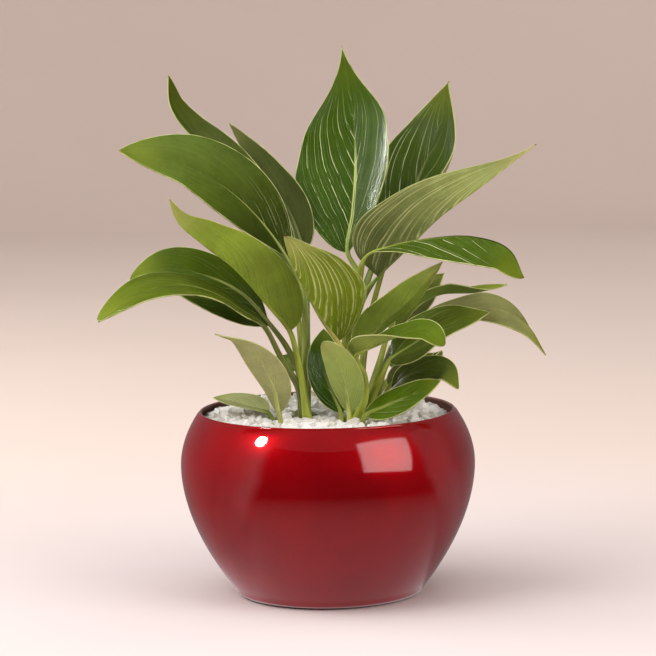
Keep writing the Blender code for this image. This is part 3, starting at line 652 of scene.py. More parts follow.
def pair(value: Pair) -> Tuple[float, float]:
    """A left and a right value, from one value or two."""
    return value if isinstance(value, tuple) else (value, value)


def pick(*pieces: Piece) -> None:
    """Select these pieces alone; the first becomes the active one."""
    bpy.ops.object.select_all(action="DESELECT")
    for piece in pieces:
        piece.select_set(True)
    if pieces:
        bpy.context.view_layer.objects.active = pieces[0]


def call(name: str) -> Piece:
    """Name the object that was just added, and its mesh."""
    made = bpy.context.object
    made.name = made.data.name = name
    return made


def select_mesh() -> None:
    """Select all of the mesh that is being edited."""
    bpy.ops.mesh.select_all(action="SELECT")


@contextmanager
def editing() -> Iterator[None]:
    """Edit the active piece's mesh, all of it selected at the start."""
    bpy.ops.object.mode_set(mode="EDIT")
    select_mesh()
    yield
    bpy.ops.object.mode_set(mode="OBJECT")


def turn_profile(extrude: Callable[..., object], line: Sequence[Tuple[float, float]],
                 radius: float) -> None:
    """Grow the selected ring or disc, which lies at height 0, along a profile.

    Args:
        extrude: Blender's operator that extrudes what is selected and moves it.
        line: Radius and height of each next ring, m.
        radius: Radius at the start, m.
    """
    level = 0.0
    for to_radius, to_level in line:
        extrude(TRANSFORM_OT_translate={"value": (0, 0, to_level - level)})
        scale = to_radius / radius
        bpy.ops.transform.resize(value=(scale, scale, 1), center_override=(0, 0, to_level))
        radius, level = to_radius, to_level


def start_grid(name: str, columns: int, rows: int) -> Piece:
    """Add a plain grid two units wide, with so many points across and along, and make it active."""
    pick()
    bpy.ops.mesh.primitive_grid_add(x_subdivisions=columns - 1, y_subdivisions=rows - 1, size=2.0)
    return call(name)


def grid_order(grid: Piece, columns: int, rows: int) -> Tuple[Array, Array]:
    """Row and column of each of the grid's points."""
    place = np.empty(len(grid.data.vertices) * 3, np.float32)
    grid.data.vertices.foreach_get("co", place)
    place = place.reshape(-1, 3)
    column = np.rint((place[:, 0] + 1) / 2 * (columns - 1)).astype(int)
    row = np.rint((place[:, 1] + 1) / 2 * (rows - 1)).astype(int)
    return row, column


def lay_out(grid: Piece, points: Array, traits: Dict[str, Array]) -> None:
    """Move the grid's points to their places and give each its traits.

    Args:
        grid: A grid as start_grid makes it.
        points: Places in mm, by row and column.
        traits: Vectors by the attribute's name, by row and column.
    """
    rows, columns = points.shape[:2]
    row, column = grid_order(grid, columns, rows)
    grid.data.vertices.foreach_set("co", (points[row, column] * MM).astype(np.float32).ravel())
    for name, values in traits.items():
        held = grid.data.attributes.new(name, "FLOAT_VECTOR", "POINT")
        full = np.broadcast_to(np.asarray(values, float), points.shape)
        held.data.foreach_set("vector", full[row, column].astype(np.float32).ravel())
    grid.data.update()


def close_roll(tube: Piece) -> None:
    """Weld the seam of a grid that was rolled into a tube, and close its two ends."""
    pick(tube)
    with editing():
        bpy.ops.mesh.remove_doubles(threshold=0.001 * MM)
        select_mesh()
        bpy.ops.mesh.fill_holes(sides=0)
        select_mesh()
        bpy.ops.mesh.normals_make_consistent(inside=False)


def join_pieces(pieces: Sequence[Piece], name: str) -> Piece:
    """Join the objects into the first one and name it."""
    pick(*pieces)
    if len(pieces) > 1:
        bpy.ops.object.join()
    pieces[0].name = pieces[0].data.name = name
    return pieces[0]


def smooth_by_angle(piece: Piece, degrees: float) -> None:
    """Shade the piece smooth across edges flatter than the angle."""
    pick(piece)
    bpy.ops.object.shade_smooth_by_angle(angle=math.radians(degrees))


def hand_over(piece: Piece, slot: Slot, node: str) -> None:
    """Let the piece ride on the plant's body in place of the CAD node, and log it.

    Args:
        piece: The finished piece.
        slot: Not used.
        node: The CAD node that it stands for.
    """
    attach(piece, "root")
    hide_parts(node)
    LOG.info("%s: %d faces for %s", piece.name, len(piece.data.polygons), node)


# ---------------------------------------------------------------- leaves

@dataclass(frozen=True)
class LeafDress:
    """How one leaf is coloured: its greens, and the strength of its pinstripes along it.

    stripes holds their strength on the upper face's left and right half and the part of the
    blade after which they fade; beneath is their strength on the lower face, veins their pitch
    in mm, their sweep towards the tip and their width as a part of the pitch. rib is how clearly
    the midrib shows and tip how far the tip turns yellow. girth scales the stalk's radius at its
    root and at the neck, and says how late it narrows; base is painted shade: the factor that
    darkens both greens at the blade's neck, fading out along the first two thirds of the blade.
    """

    green: Colour = (0.10, 0.15, 0.025)
    under: Colour = (0.15, 0.19, 0.045)
    stripes: Point = (0.1, 0.1, 0.6)
    beneath: float = 0.1
    veins: Point = (9.0, 0.6, 0.06)
    stalk: Colour = (0.30, 0.36, 0.05)
    girth: Point = (0.95, 0.95, 1.0)
    rib: float = 0.25
    tip: float = 0.4
    base: float = 1.0
    slot: Slot = Slot.LEAF_MIDDLE
    size: LeafSize = LeafSize.LARGE


@dataclass(frozen=True)
class LeafForm:
    """One leaf, in mm; left and right are seen from base to tip with the upper face up.

    crown names the one that holds it, stalk and blade are points of its line, half the half
    widths, and face the upper face's direction at base, middle and tip. rise and fall shape the
    outline's two ends, tip slims the last third, fold and cup bend the halves up in degrees
    (fold_tip and cup_tip hold at the tip), wave is the margin's ripple (height, count, phase),
    and root the stalk's radius where it starts.
    """

    crown: Optional[str]
    stalk: Sequence[Point]
    blade: Sequence[Point]
    half: Pair
    face: Sequence[Point]
    dress: LeafDress = LeafDress()
    rise: Pair = 0.6
    fall: Pair = 1.0
    tip: float = 0.0
    fold: Pair = 0.0
    fold_tip: Optional[Pair] = None
    cup: Pair = 0.0
    cup_tip: Optional[Pair] = None
    wave: Point = (0.4, 1.5, 0.0)
    root: float = 2.3


def smooth_path(knots: Sequence[Point], steps: int = 20) -> Tuple[Array, List[int]]:
    """A centripetal Catmull-Rom curve.

    Args:
        knots: Points that the curve passes through.
        steps: Points from one knot to the next.

    Returns:
        The curve's points, and the index of each knot among them.
    """
    given = np.asarray(knots, float)
    ends = np.vstack([2 * given[0] - given[1], given, 2 * given[-1] - given[-2]])
    points, marks = [given[0]], [0]
    for i in range(1, len(ends) - 2):
        p0, p1, p2, p3 = ends[i - 1:i + 3]
        t0 = 0.0
        t1 = t0 + math.sqrt(np.linalg.norm(p1 - p0))
        t2 = t1 + math.sqrt(np.linalg.norm(p2 - p1))
        t3 = t2 + math.sqrt(np.linalg.norm(p3 - p2))
        for k in range(1, steps + 1):
            t = t1 + (t2 - t1) * k / steps
            a1 = (t1 - t) / (t1 - t0) * p0 + (t - t0) / (t1 - t0) * p1
            a2 = (t2 - t) / (t2 - t1) * p1 + (t - t1) / (t2 - t1) * p2
            a3 = (t3 - t) / (t3 - t2) * p2 + (t - t2) / (t3 - t2) * p3
            b1 = (t2 - t) / (t2 - t0) * a1 + (t - t0) / (t2 - t0) * a2
            b2 = (t3 - t) / (t3 - t1) * a2 + (t - t1) / (t3 - t1) * a3
            points.append((t2 - t) / (t2 - t1) * b1 + (t - t1) / (t2 - t1) * b2)
        marks.append(len(points) - 1)
    return np.array(points), marks


class Spine:
    """The smooth line of a stalk and its midrib, read by its length in mm."""

    def __init__(self, form: LeafForm) -> None:
        """Measure the leaf's line."""
        self.points, marks = smooth_path(list(form.stalk) + list(form.blade))
        steps = np.linalg.norm(np.diff(self.points, axis=0), axis=1)
        self.length = np.concatenate([[0.0], np.cumsum(steps)])
        self.neck = float(self.length[marks[len(form.stalk)]])
        self.end = float(self.length[-1])

    def at(self, distance: Array) -> Array:
        """Points at the distances from the start; before it the line runs on straight."""
        wanted = np.atleast_1d(distance)
        inside = np.stack([np.interp(wanted, self.length, self.points[:, k]) for k in range(3)], 1)
        return inside + np.minimum(wanted, 0.0)[:, None] * unit(self.points[1] - self.points[0])

    def tangent(self, distance: Array) -> Array:
        """Directions at the distances."""
        wanted = np.atleast_1d(distance)
        return unit(self.at(np.minimum(wanted + 0.5, self.end)) - self.at(wanted - 0.5))


@dataclass
class Blade:
    """One leaf blade with the end of its stalk; sizes in mm."""

    name: str
    form: LeafForm
    seed: float
    thickness: float = 0.5
    groove: float = 0.22         # depth of the furrow over the midrib
    groove_width: float = 0.8
    close_up: float = 7.0        # a half narrower than this has its columns closer
    near: Sequence[float] = (0.45, 0.95, 1.6)      # columns beside the midrib
    last: float = 0.4            # the last column but one lies so far inside the margin
    middle_columns: int = 10
    slices: int = 24             # steps in which a half's bend is summed up
    rib_sides: int = 10
    rib_rings: Tuple[int, int] = (8, 44)           # on the stalk, and along the blade
    rib_end: float = 0.94

    def __post_init__(self) -> None:
        """Work out the leaf's line."""
        self.spine = Spine(self.form)
        self.dress = self.form.dress

    def radius(self, distance: Array) -> Array:
        """The stalk's radius, which tapers from its root to the neck."""
        root, neck, late = self.dress.girth
        share = np.clip(distance / self.spine.neck, 0.0, 1.0) ** late
        return self.form.root * root * (1 - share) + NECK_RADIUS * neck * share

    def half_width(self, t: Array, side: int) -> Array:
        """Half width of the blade.

        Args:
            t: Parts of the blade's length.
            side: 0 for the left half, 1 for the right half.

        Returns:
            The half widths in mm.
        """
        form = self.form
        rise, fall = pair(form.rise)[side], pair(form.fall)[side]
        widest = rise / (rise + fall)
        inner = np.clip(t, 1e-6, 1 - 1e-6)
        slim = np.clip((inner - 0.6) / 0.4, 0.0, 1.0)
        width = (pair(form.half)[side] * (inner / widest) ** rise
                 * ((1 - inner) / (1 - widest)) ** fall)
        width = np.maximum(width * (1 - form.tip * slim * slim * (3 - 2 * slim)), 0.1)
        return np.where(t < 0.5, np.maximum(width, NECK_RADIUS * self.dress.girth[1]), width)

    def frames(self, t: Array) -> Tuple[Array, Array, Array]:
        """Centres, upper-face directions and right-hand directions at parts t of the blade."""
        distance = self.spine.neck + (self.spine.end - self.spine.neck) * t
        tangent = self.spine.tangent(distance)
        faces = [unit(vector) for vector in self.form.face]
        face = np.stack([np.interp(t, (0, 0.5, 1), [v[k] for v in faces]) for k in range(3)], 1)
        face = unit(face)
        normal = unit(face - (face * tangent).sum(1, keepdims=True) * tangent)
        return self.spine.at(distance), normal, np.cross(tangent, normal)

    def offsets(self, width: Array) -> Array:
        """Places across one half: close by the midrib, even in the middle, close by the margin."""
        close = np.minimum(1.0, width / self.close_up)
        parts = [place * close for place in self.near]
        for k in range(1, self.middle_columns + 1):
            share = k / self.middle_columns
            parts.append(self.near[-1] * close * (1 - share) + (width - close) * share)
        return np.stack(parts + [width - self.last * close, width], 1)

    def surface(self, t: Array) -> Tuple[Array, Array]:
        """The upper face.

        Args:
            t: Parts of the blade's length, one for each row.

        Returns:
            Points in mm by row and column, and their distances across (mm, left is negative).
        """
        form = self.form
        centre, normal, side = self.frames(t)
        fold, cup = pair(form.fold), pair(form.cup)
        fold_tip = fold if form.fold_tip is None else pair(form.fold_tip)
        cup_tip = cup if form.cup_tip is None else pair(form.cup_tip)
        height, count, phase = form.wave
        slices = (np.arange(self.slices) + 0.5) / self.slices
        halves, across = [], []
        for k in (0, 1):
            width = self.half_width(t, k)
            far = self.offsets(width)
            reach = far / width[:, None]
            start = fold[k] + (fold_tip[k] - fold[k]) * t
            bend = (cup[k] + (cup_tip[k] - cup[k]) * t) * np.minimum(1, 10 * t)
            angle = np.radians(start[:, None, None]
                               + bend[:, None, None] * slices * reach[:, :, None])
            out, up = np.cos(angle).mean(2) * far, np.sin(angle).mean(2) * far
            ripple = np.sin(2 * math.pi * count * t + phase + 0.9 * k) * height
            ripple = ripple * np.minimum(1, 4 * (1 - t)) * np.minimum(1, 5 * t)
            up = up + ripple[:, None] * reach * reach
            hand = 2 * k - 1
            halves.append(centre[:, None] + side[:, None] * (out * hand)[:, :, None]
                          + normal[:, None] * up[:, :, None])
            across.append(far * hand)
        points = np.concatenate([halves[0][:, ::-1], centre[:, None], halves[1]], 1)
        places = np.concatenate([across[0][:, ::-1], np.zeros((len(t), 1)), across[1]], 1)
        depth = self.groove * np.minimum(1, 6 * t) * np.sqrt(1 - t)
        dip = np.exp(-(places / self.groove_width) ** 2) * depth[:, None]
        return points - normal[:, None] * dip[:, :, None], places

    def traits(self, t: Array, across: Array) -> Dict[str, Array]:
        """The attributes that the leaf's materials read, by row and column."""
        columns = across.shape[1]
        along = (self.spine.end - self.spine.neck) * t
        middle = columns // 2
        edge = np.where(np.arange(columns) < middle,
                        across - across[:, :1], across[:, -1:] - across)
        place = np.stack([across, np.repeat(along[:, None], columns, 1), edge], 2)
        left, right, last = self.dress.stripes
        shown = (1 - np.clip((t - last) / 0.25, 0, 1)) * np.minimum(1, 25 * t)
        halves = np.where(np.arange(columns) < middle, left, right)
        beneath = self.dress.beneath * np.minimum(1, 25 * t)
        trait = np.stack([np.repeat(t[:, None], columns, 1), shown[:, None] * halves,
                          np.repeat(beneath[:, None], columns, 1)], 2)
        own = np.array((self.seed, self.dress.rib, self.dress.tip))
        # painted shade: both greens are darkened towards the neck by the dress's base
        base = self.dress.base
        shade = np.interp(t, (0.0, 0.15, 0.65), (base, base, 1.0))[:, None, None]
        return {"leaf_place": place, "leaf_trait": trait, "leaf_own": own,
                "leaf_veins": np.asarray(self.dress.veins),
                "leaf_green": shade * self.dress.green,
                "leaf_green_under": shade * self.dress.under,
                "stalk_green": np.asarray(self.dress.stalk)}

    def build_face(self, materials: Sequence[Material]) -> Piece:
        """The blade itself: a shaped grid given its thickness."""
        rows = self.dress.size.value
        even = np.linspace(0, 1, rows)
        t = 0.55 * even + 0.45 * (0.5 - 0.5 * np.cos(math.pi * even))
        points, across = self.surface(t)
        blade = start_grid(self.name, points.shape[1], rows)
        lay_out(blade, points, self.traits(t, across))
        for material in materials:
            blade.data.materials.append(material)
        solid = blade.modifiers.new("thickness", "SOLIDIFY")
        solid.thickness = self.thickness * MM
        solid.offset = -1.0
        solid.material_offset = Face.UNDER.value
        solid.material_offset_rim = Face.MARGIN.value
        bpy.ops.object.modifier_apply(modifier=solid.name)
        return blade

    def build_rib(self, materials: Sequence[Material]) -> Piece:
        """The end of the stalk, which runs on as the midrib under the blade."""
        neck, whole = self.spine.neck, self.spine.end - self.spine.neck
        first = 0.0 if self.form.crown is None else neck - STUB
        distance = np.concatenate([
            np.linspace(first, neck, self.rib_rings[0])[:-1],
            np.linspace(neck, neck + whole * self.rib_end, self.rib_rings[1])])
        t = np.clip((distance - neck) / whole, 0, 1)
        slender = NECK_RADIUS * self.dress.girth[1] * (0.88 * (1 - t) ** 2.2 + 0.12)
        radius = np.where(t > 0, slender, self.radius(distance))
        sunk = radius * (0.75 * np.minimum(1, t / 0.12)) + 0.2 * np.clip((t - 0.1) / 0.3, 0, 1)
        fade = np.clip(t / 0.4, 0, 1)[:, None]
        under = np.asarray(self.dress.under) * 1.1
        green = np.asarray(self.dress.stalk) * (1 - fade) + under * fade
        centre = self.spine.at(distance)
        normal = self.frames(t)[1]
        tube = roll_tube(self.name + "_rib", centre - normal * sunk[:, None],
                         self.spine.tangent(distance), normal[0], radius, self.rib_sides,
                         distance + SEED_SHIFT * self.seed, green)
        for material in materials:
            tube.data.materials.append(material)
        for face in tube.data.polygons:
            face.material_index = Face.STALK.value
        return tube

    def build(self, palette: Palette) -> Piece:
        """Model and dress the blade.

        Args:
            palette: Where the materials come from.

        Returns:
            The finished piece.
        """
        materials = [palette.leaf(finish) for finish in (LEAF_TOP, LEAF_UNDER, LEAF_RIM)]
        materials.append(palette.stalk(StalkFinish()))
        piece = join_pieces([self.build_face(materials), self.build_rib(materials)],
                            "blade_" + self.name)
        smooth_by_angle(piece, 48)
        hand_over(piece, self.dress.slot, "leaf_" + self.name)
        return piece


def roll_tube(name: str, centre: Array, tangent: Array, top: Array, radius: Array, sides: int,
              along: Array, green: object, channel: float = 0.0,
              squash: Pair = (1.0, 1.0)) -> Piece:
    """Roll a grid into a closed tube.

    Args:
        name: Name of the tube.
        centre: Its line, a point for each ring, mm.
        tangent: Directions of the line.
        top: Direction that the tube's channel faces at the first ring.
        radius: Radius of each ring, mm.
        sides: Faces around.
        along: Length at each ring, for the streaks.
        green: Colour of the stalk, the same all along or one for each ring.
        channel: Depth of the shallow channel along its top, as a part of the radius.
        squash: Scale of the section across and along the top direction.

    Returns:
        The tube.
    """
    turns = np.linspace(0, FULL_TURN, sides + 1)
    shape = 1 - channel * np.exp(-((np.abs(turns - math.pi / 2)) / 0.5) ** 2)
    points = np.zeros((len(centre), sides + 1, 3))
    up = np.asarray(top, float)
    for i, direction in enumerate(tangent):
        up = unit(up - direction * float(up @ direction))
        right = np.cross(up, direction)
        ring = (right * (np.cos(turns) * squash[0])[:, None]
                + up * (np.sin(turns) * squash[1])[:, None])
        points[i] = centre[i] + ring * (shape * radius[i])[:, None]
    place = np.zeros_like(points)
    place[:, :, 0] = np.sin(turns) * 3.0
    place[:, :, 1] = along[:, None]
    place[:, :, 2] = 9.0
    tube = start_grid(name, sides + 1, len(centre))
    colours = np.broadcast_to(np.asarray(green, float), (len(centre), 3))
    lay_out(tube, points, {"leaf_place": place, "stalk_green": colours[:, None]})
    close_roll(tube)
    return tube


@dataclass
class Crown:
    """A short stem and the stalks that grow out of it; sizes in mm."""

    name: str
    place: Tuple[float, float]
    half: Tuple[float, float]
    foot: float = 66.0
    top: float = 93.0
    sides: int = 14
    ring_step: float = 2.5
    sunk: float = 5.0
    sheath: float = 0.55         # how much wider a stalk is where it leaves the stem
    sheath_length: float = 7.0
    channel: float = 0.14        # depth of a stalk's channel, as a part of its radius
    stem_sides: int = 28
    green: Colour = (0.20, 0.22, 0.06)

    def build_stem(self) -> Piece:
        """The oval stem, most of which is buried."""
        foot, top = self.foot, self.top
        levels = np.array([foot, foot + 3, foot + 8, top - 4, top - 1.6, top - 0.4, top])
        widths = np.array([0.6, 0.85, 0.96, 1.0, 0.93, 0.75, 0.4])
        centre = np.array([(*self.place, level) for level in levels])
        up = np.tile((0.0, 0.0, 1.0), (len(levels), 1))
        return roll_tube(self.name + "_stem", centre, up, np.array((0.0, 1.0, 0.0)), widths,
                         self.stem_sides, levels, self.green, 0.0, self.half)

    def build_stalk(self, blade: Blade) -> Piece:
        """One leaf's stalk, up to the blade's piece."""
        spine = blade.spine
        end = spine.neck - STUB + 0.2
        rings = max(6, int(round((end + self.sunk) / self.ring_step)))
        distance = np.linspace(-self.sunk, end, rings)
        swell = np.exp(-np.maximum(distance, 0) / self.sheath_length)
        radius = blade.radius(distance) + self.sheath * swell
        top = blade.frames(np.array([0.0]))[1][0]
        return roll_tube(blade.name + "_stalk", spine.at(distance), spine.tangent(distance), top,
                         radius, self.sides, distance + SEED_SHIFT * blade.seed,
                         blade.dress.stalk, self.channel)

    def build(self, blades: Sequence[Blade], palette: Palette) -> Piece:
        """Model and dress the crown.

        Args:
            blades: All the leaves; it takes the stalks of its own.
            palette: Where the materials come from.

        Returns:
            The finished piece.
        """
        stalks = [self.build_stalk(blade) for blade in blades if blade.form.crown == self.name]
        piece = join_pieces([self.build_stem()] + stalks, "stalks_" + self.name)
        piece.data.materials.append(palette.stalk(StalkFinish()))
        smooth_by_angle(piece, 50)
        hand_over(piece, Slot.STALK, "crown_" + self.name)
        return piece


# ---------------------------------------------------------------- bowl and cover

@dataclass
class Bowl:
    """The turned bowl; sizes in mm."""

    height: float = 94.2
    belly_radius: float = 75.0
    belly_height: float = 66.4
    rim_radius: float = 65.2
    foot_radius: float = 41.4
    foot_round: float = 3.2
    wall: float = 1.5
    lower_bend: float = 1.85     # exponent and scale of the wall's curve below the belly
    lower_drop: float = 0.0123
    outer_rings: Tuple[float, float, int] = (5.5, 92.6, 34)      # from, to and how many
    inner_rings: Tuple[float, float, int] = (92.6, 8.0, 24)
    steps: int = 160

    def radius(self, z: float) -> float:
        """Outside radius of the wall at height z, above the rounded foot."""
        if z < self.belly_height:
            return self.belly_radius - self.lower_drop * (self.belly_height - z) ** self.lower_bend
        curve = (self.belly_radius - self.rim_radius) / (self.height - self.belly_height) ** 2
        return self.belly_radius - curve * (z - self.belly_height) ** 2

    def profile(self) -> List[Tuple[float, float]]:
        """Radius and height of each ring, from the foot over the lip to the floor inside."""
        join = self.radius(self.foot_round)
        half = self.wall / 2
        line = []
        for a in np.radians(range(15, 91, 15)):
            line.append((self.foot_radius + (join - self.foot_radius) * math.sin(a),
                         self.foot_round * (1 - math.cos(a))))
        line += [(self.radius(z), z) for z in np.linspace(*self.outer_rings)]
        for a in np.radians(range(0, 181, 20)):
            line.append((self.rim_radius - half + half * math.cos(a),
                         self.height - half + half * math.sin(a)))
        line += [(self.radius(z) - self.wall, z) for z in np.linspace(*self.inner_rings)]
        return line + [(join - self.wall - 1.0, self.foot_round + 0.6),
                       (self.foot_radius, self.wall)]

    def side_of(self, face: bpy.types.MeshPolygon) -> Side:
        """Whether a face belongs to the inside: it looks at the axis, or it is the floor."""
        x, y, height = (value / MM for value in face.center)
        inward = face.normal.x * x + face.normal.y * y < 0 and height > self.wall * 0.9
        on_floor = height > 0.5 and face.normal.z > 0.9 and math.hypot(x, y) < self.foot_radius
        return Side.INSIDE if inward or on_floor else Side.OUTSIDE

    def build(self, palette: Palette) -> Piece:
        """Model the bowl ring by ring from the disc that it stands on, and dress it.

        Args:
            palette: Where the materials come from.

        Returns:
            The finished piece.
        """
        pick()
        bpy.ops.mesh.primitive_circle_add(vertices=self.steps, radius=self.foot_radius * MM,
                                          fill_type="NGON")
        bowl = call("bowl")
        bowl.data.materials.append(palette.lacquer(LacquerFinish()))
        bowl.data.materials.append(palette.inside(InsideFinish()))
        with editing():
            line = [(radius * MM, level * MM) for radius, level in self.profile()]
            turn_profile(bpy.ops.mesh.extrude_region_move, line, self.foot_radius * MM)
            select_mesh()
            bpy.ops.mesh.normals_make_consistent(inside=False)
        for face in bowl.data.polygons:
            face.material_index = self.side_of(face).value
        smooth_by_angle(bowl, 40)
        hand_over(bowl, Slot.BOWL, "pot")
        return bowl


@dataclass
class ChipCover:
    """The cover of crushed marble over the soil; sizes in mm."""

    bowl: Bowl
    pitch: float = 4.7
    jitter: float = 0.9
    size: Tuple[float, float] = (4.6, 7.2)
    large: Tuple[float, float] = (0.12, 1.15)      # share of the larger chips, and their scale
    layers: Sequence[float] = (2.6, 0.0)           # how deep each layer lies
    thinned: Tuple[float, float] = (56.0, 0.25)    # the first layer's gaps: radius and share
    room: float = 0.34           # what a chip needs beside a stalk, as a part of its size
    hanging: float = 12.0        # leaves lower than this above the cover keep it clear
    lowest: float = 82.5
    shapes: int = 9
    cuts: int = 9
    seed: int = 31
    bed_depth: float = 3.0
    bed_grid: Tuple[int, int] = (22, 96)
    bed_gap: float = 0.3         # between the bed and the wall
    bed_foot: Tuple[float, float] = (80.1, 80.2)

    def level(self, x: float, y: float) -> float:
        """Height of the chips' mean surface."""
        reach = min(math.hypot(x, y) / self.bowl.rim_radius, 1.0)
        return COVER_LEVEL + COVER_SLOPE * y - COVER_EDGE_DROP * reach ** COVER_EDGE_POWER

    def build_shape(self, rng: random.Random, index: int) -> Tuple[Array, List[List[int]]]:
        """One angular chip, about one unit across: a block cut by planes, its edges worn.

        Args:
            rng: Source of the seeded choices.
            index: Number of the shape.

        Returns:
            Its points and the points of each of its faces.
        """
        pick()
        bpy.ops.mesh.primitive_cube_add(size=1.0)
        chip = call(f"chip_shape_{index}")
        with editing():
            bpy.ops.transform.resize(value=(1.0, rng.uniform(0.7, 0.95), rng.uniform(0.55, 0.8)))
            for _ in range(self.cuts):
                away = Vector((rng.gauss(0, 1), rng.gauss(0, 1), rng.gauss(0, 0.8))).normalized()
                select_mesh()
                bpy.ops.mesh.bisect(plane_co=away * rng.uniform(0.30, 0.42), plane_no=away,
                                    use_fill=True, clear_outer=True)
        worn = chip.modifiers.new("wear", "BEVEL")
        worn.width = 0.035
        worn.segments = 1
        bpy.ops.object.modifier_apply(modifier=worn.name)
        points = np.array([vert.co[:] for vert in chip.data.vertices])
        faces = [list(face.vertices) for face in chip.data.polygons]
        bpy.data.objects.remove(chip, do_unlink=True)
        return points, faces

    def draw(self, rng: random.Random) -> Iterator[Tuple[int, float, float, float, float]]:
        """Draw the chips of both layers, each near its place in a hexagonal grid.

        Args:
            rng: Source of the seeded choices.

        Yields:
            Layer, centre and size of a chip.
        """
        rows = int(self.bowl.belly_radius / self.pitch)
        slip = (-self.jitter, self.jitter)
        for layer, sink in enumerate(self.layers):
            for row in range(-rows, rows + 1):
                for column in range(-2 * rows, 2 * rows + 1):
                    x = (column + row / 2 + 0.5 * layer) * self.pitch + rng.uniform(*slip)
                    y = (row + 0.33 * layer) * self.pitch * 0.866 + rng.uniform(*slip)
                    size = rng.uniform(*self.size)
                    size *= self.large[1] if rng.random() < self.large[0] else 1.0
                    yield layer, x, y, self.level(x, y) - sink - 1.0 + rng.uniform(-0.7, 0.8), size

    def spots(self, rng: random.Random, blades: Sequence[Blade],
              crowns: Sequence[Crown]) -> List[Tuple[float, float, float, float]]:
        """Where chips lie.

        Args:
            rng: Source of the seeded choices.
            blades: The leaves, whose stalks and blades stay clear.
            crowns: The stems.

        Returns:
            Centre and size of each chip.
        """
        lines = []
        for blade in blades:
            length = np.arange(-4.0, blade.spine.end, 0.8)
            thick = np.where(length < blade.spine.neck, blade.radius(length) + 0.3, 0.4)
            lines.append(np.column_stack([blade.spine.at(length), thick]))
        stalks = np.concatenate(lines)
        even = np.linspace(0, 1, 40)
        hangs = np.concatenate([blade.surface(even)[0].reshape(-1, 3) for blade in blades])
        top = COVER_LEVEL + self.hanging
        stalks, hangs = (points[points[:, 2] < top] for points in (stalks, hangs))
        found = []
        for layer, x, y, z, size in self.draw(rng):
            reach, room = math.hypot(x, y), size * self.room
            if reach + size / 2 > self.bowl.radius(z) - self.bowl.wall:
                continue
            if layer == 0 and reach < self.thinned[0] and rng.random() < self.thinned[1]:
                continue
            apart = np.hypot(stalks[:, 0] - x, stalks[:, 1] - y) - stalks[:, 3]
            if (apart[np.abs(stalks[:, 2] - z) < 3.5] < room).any():
                continue
            if any(math.hypot((x - crown.place[0]) / (crown.half[0] + room),
                              (y - crown.place[1]) / (crown.half[1] + room)) < 1
                   for crown in crowns):
                continue
            over = np.hypot(hangs[:, 0] - x, hangs[:, 1] - y) < size / 2
            if over.any():
                z = min(z, float(hangs[over, 2].min()) - size * 0.42)
            if z > self.lowest:
                found.append((x, y, z, size))
        return found

    def build_chips(self, palette: Palette, blades: Sequence[Blade],
                    crowns: Sequence[Crown]) -> Piece:
        """Copy the chip shapes over the cover, each copy turned and sized its own way."""
        rng = random.Random(self.seed)
        shapes = [self.build_shape(rng, k) for k in range(self.shapes)]
        points, faces, tints = [], [], []
        count = 0
        for x, y, z, size in self.spots(rng, blades, crowns):
            shape, sides = shapes[rng.randrange(len(shapes))]
            turn = Matrix.Rotation(rng.uniform(0, FULL_TURN), 3, "Z")
            for axis in "XY":
                turn = turn @ Matrix.Rotation(rng.gauss(0, 0.5), 3, axis)
            placed = shape @ np.array(turn).T * size * rng.uniform(0.9, 1.1) + (x, y, z)
            points.append(placed)
            faces += [[count + k for k in side] for side in sides]
            tints.append(np.full(len(shape), rng.random() ** 2))
            count += len(shape)
        mesh = bpy.data.meshes.new("marble_chips")
        mesh.from_pydata(np.concatenate(points) * MM, [], faces)
        held = mesh.attributes.new("chip_tint", "FLOAT_VECTOR", "POINT")
        held.data.foreach_set("vector", np.repeat(np.concatenate(tints), 3).astype(np.float32))
        chips = bpy.data.objects.new("marble_chips", mesh)
        bpy.context.scene.collection.objects.link(chips)
        mesh.materials.append(palette.marble(MarbleFinish()))
        smooth_by_angle(chips, 12)
        hand_over(chips, Slot.MARBLE, "gravel")
        LOG.info("%d chips", len(points))
        return chips

    def build_bed(self, palette: Palette) -> Piece:
        """A dark sheet under the chips: painted shade that shows in the gaps between them."""
        rings, sides = self.bed_grid
        clear = self.bowl.wall + self.bed_gap
        turns = np.linspace(0, FULL_TURN, sides + 1)
        points = np.zeros((rings + 1, sides + 1, 3))
        for i, reach in enumerate(np.linspace(0.02, 1.0, rings) * (self.bowl.radius(84.0) - clear)):
            for j, a in enumerate(turns):
                x, y = reach * math.cos(a), reach * math.sin(a)
                bumps = 0.5 * math.sin(1.3 * x) * math.cos(1.1 * y)
                points[i, j] = (x, y, self.level(x, y) - self.bed_depth + bumps)
        level, at = self.bed_foot
        foot = self.bowl.radius(at) - clear
        points[rings] = np.stack([foot * np.cos(turns), foot * np.sin(turns),
                                  np.full(sides + 1, level)], 1)
        bed = start_grid("chip_bed", sides + 1, rings + 1)
        lay_out(bed, points, {"chip_tint": np.array((1.0, 1.0, 1.0))})
        close_roll(bed)
        # painted shade: this dark marble stands for the shade between the chips
        bed.data.materials.append(palette.marble(MARBLE_GAP_SHADE))
        smooth_by_angle(bed, 60)
        hand_over(bed, Slot.MARBLE, "gravel")
        return bed


# ---------------------------------------------------------------- studio

TARGET = Vector((0, 0, 0.11))        # what the lights face, m


def toward(azimuth: float, elevation: float) -> Vector:
    """The direction of a light; azimuth is in degrees from the front, to the right."""
    a, e = math.radians(azimuth), math.radians(elevation)
    return Vector((math.sin(a) * math.cos(e), -math.cos(a) * math.cos(e), math.sin(e)))


def put_in_scene(name: str, data: bpy.types.ID) -> Piece:
    """Add an object for this light or camera to the scene."""
    made = bpy.data.objects.new(name, data)
    bpy.context.scene.collection.objects.link(made)
    return made


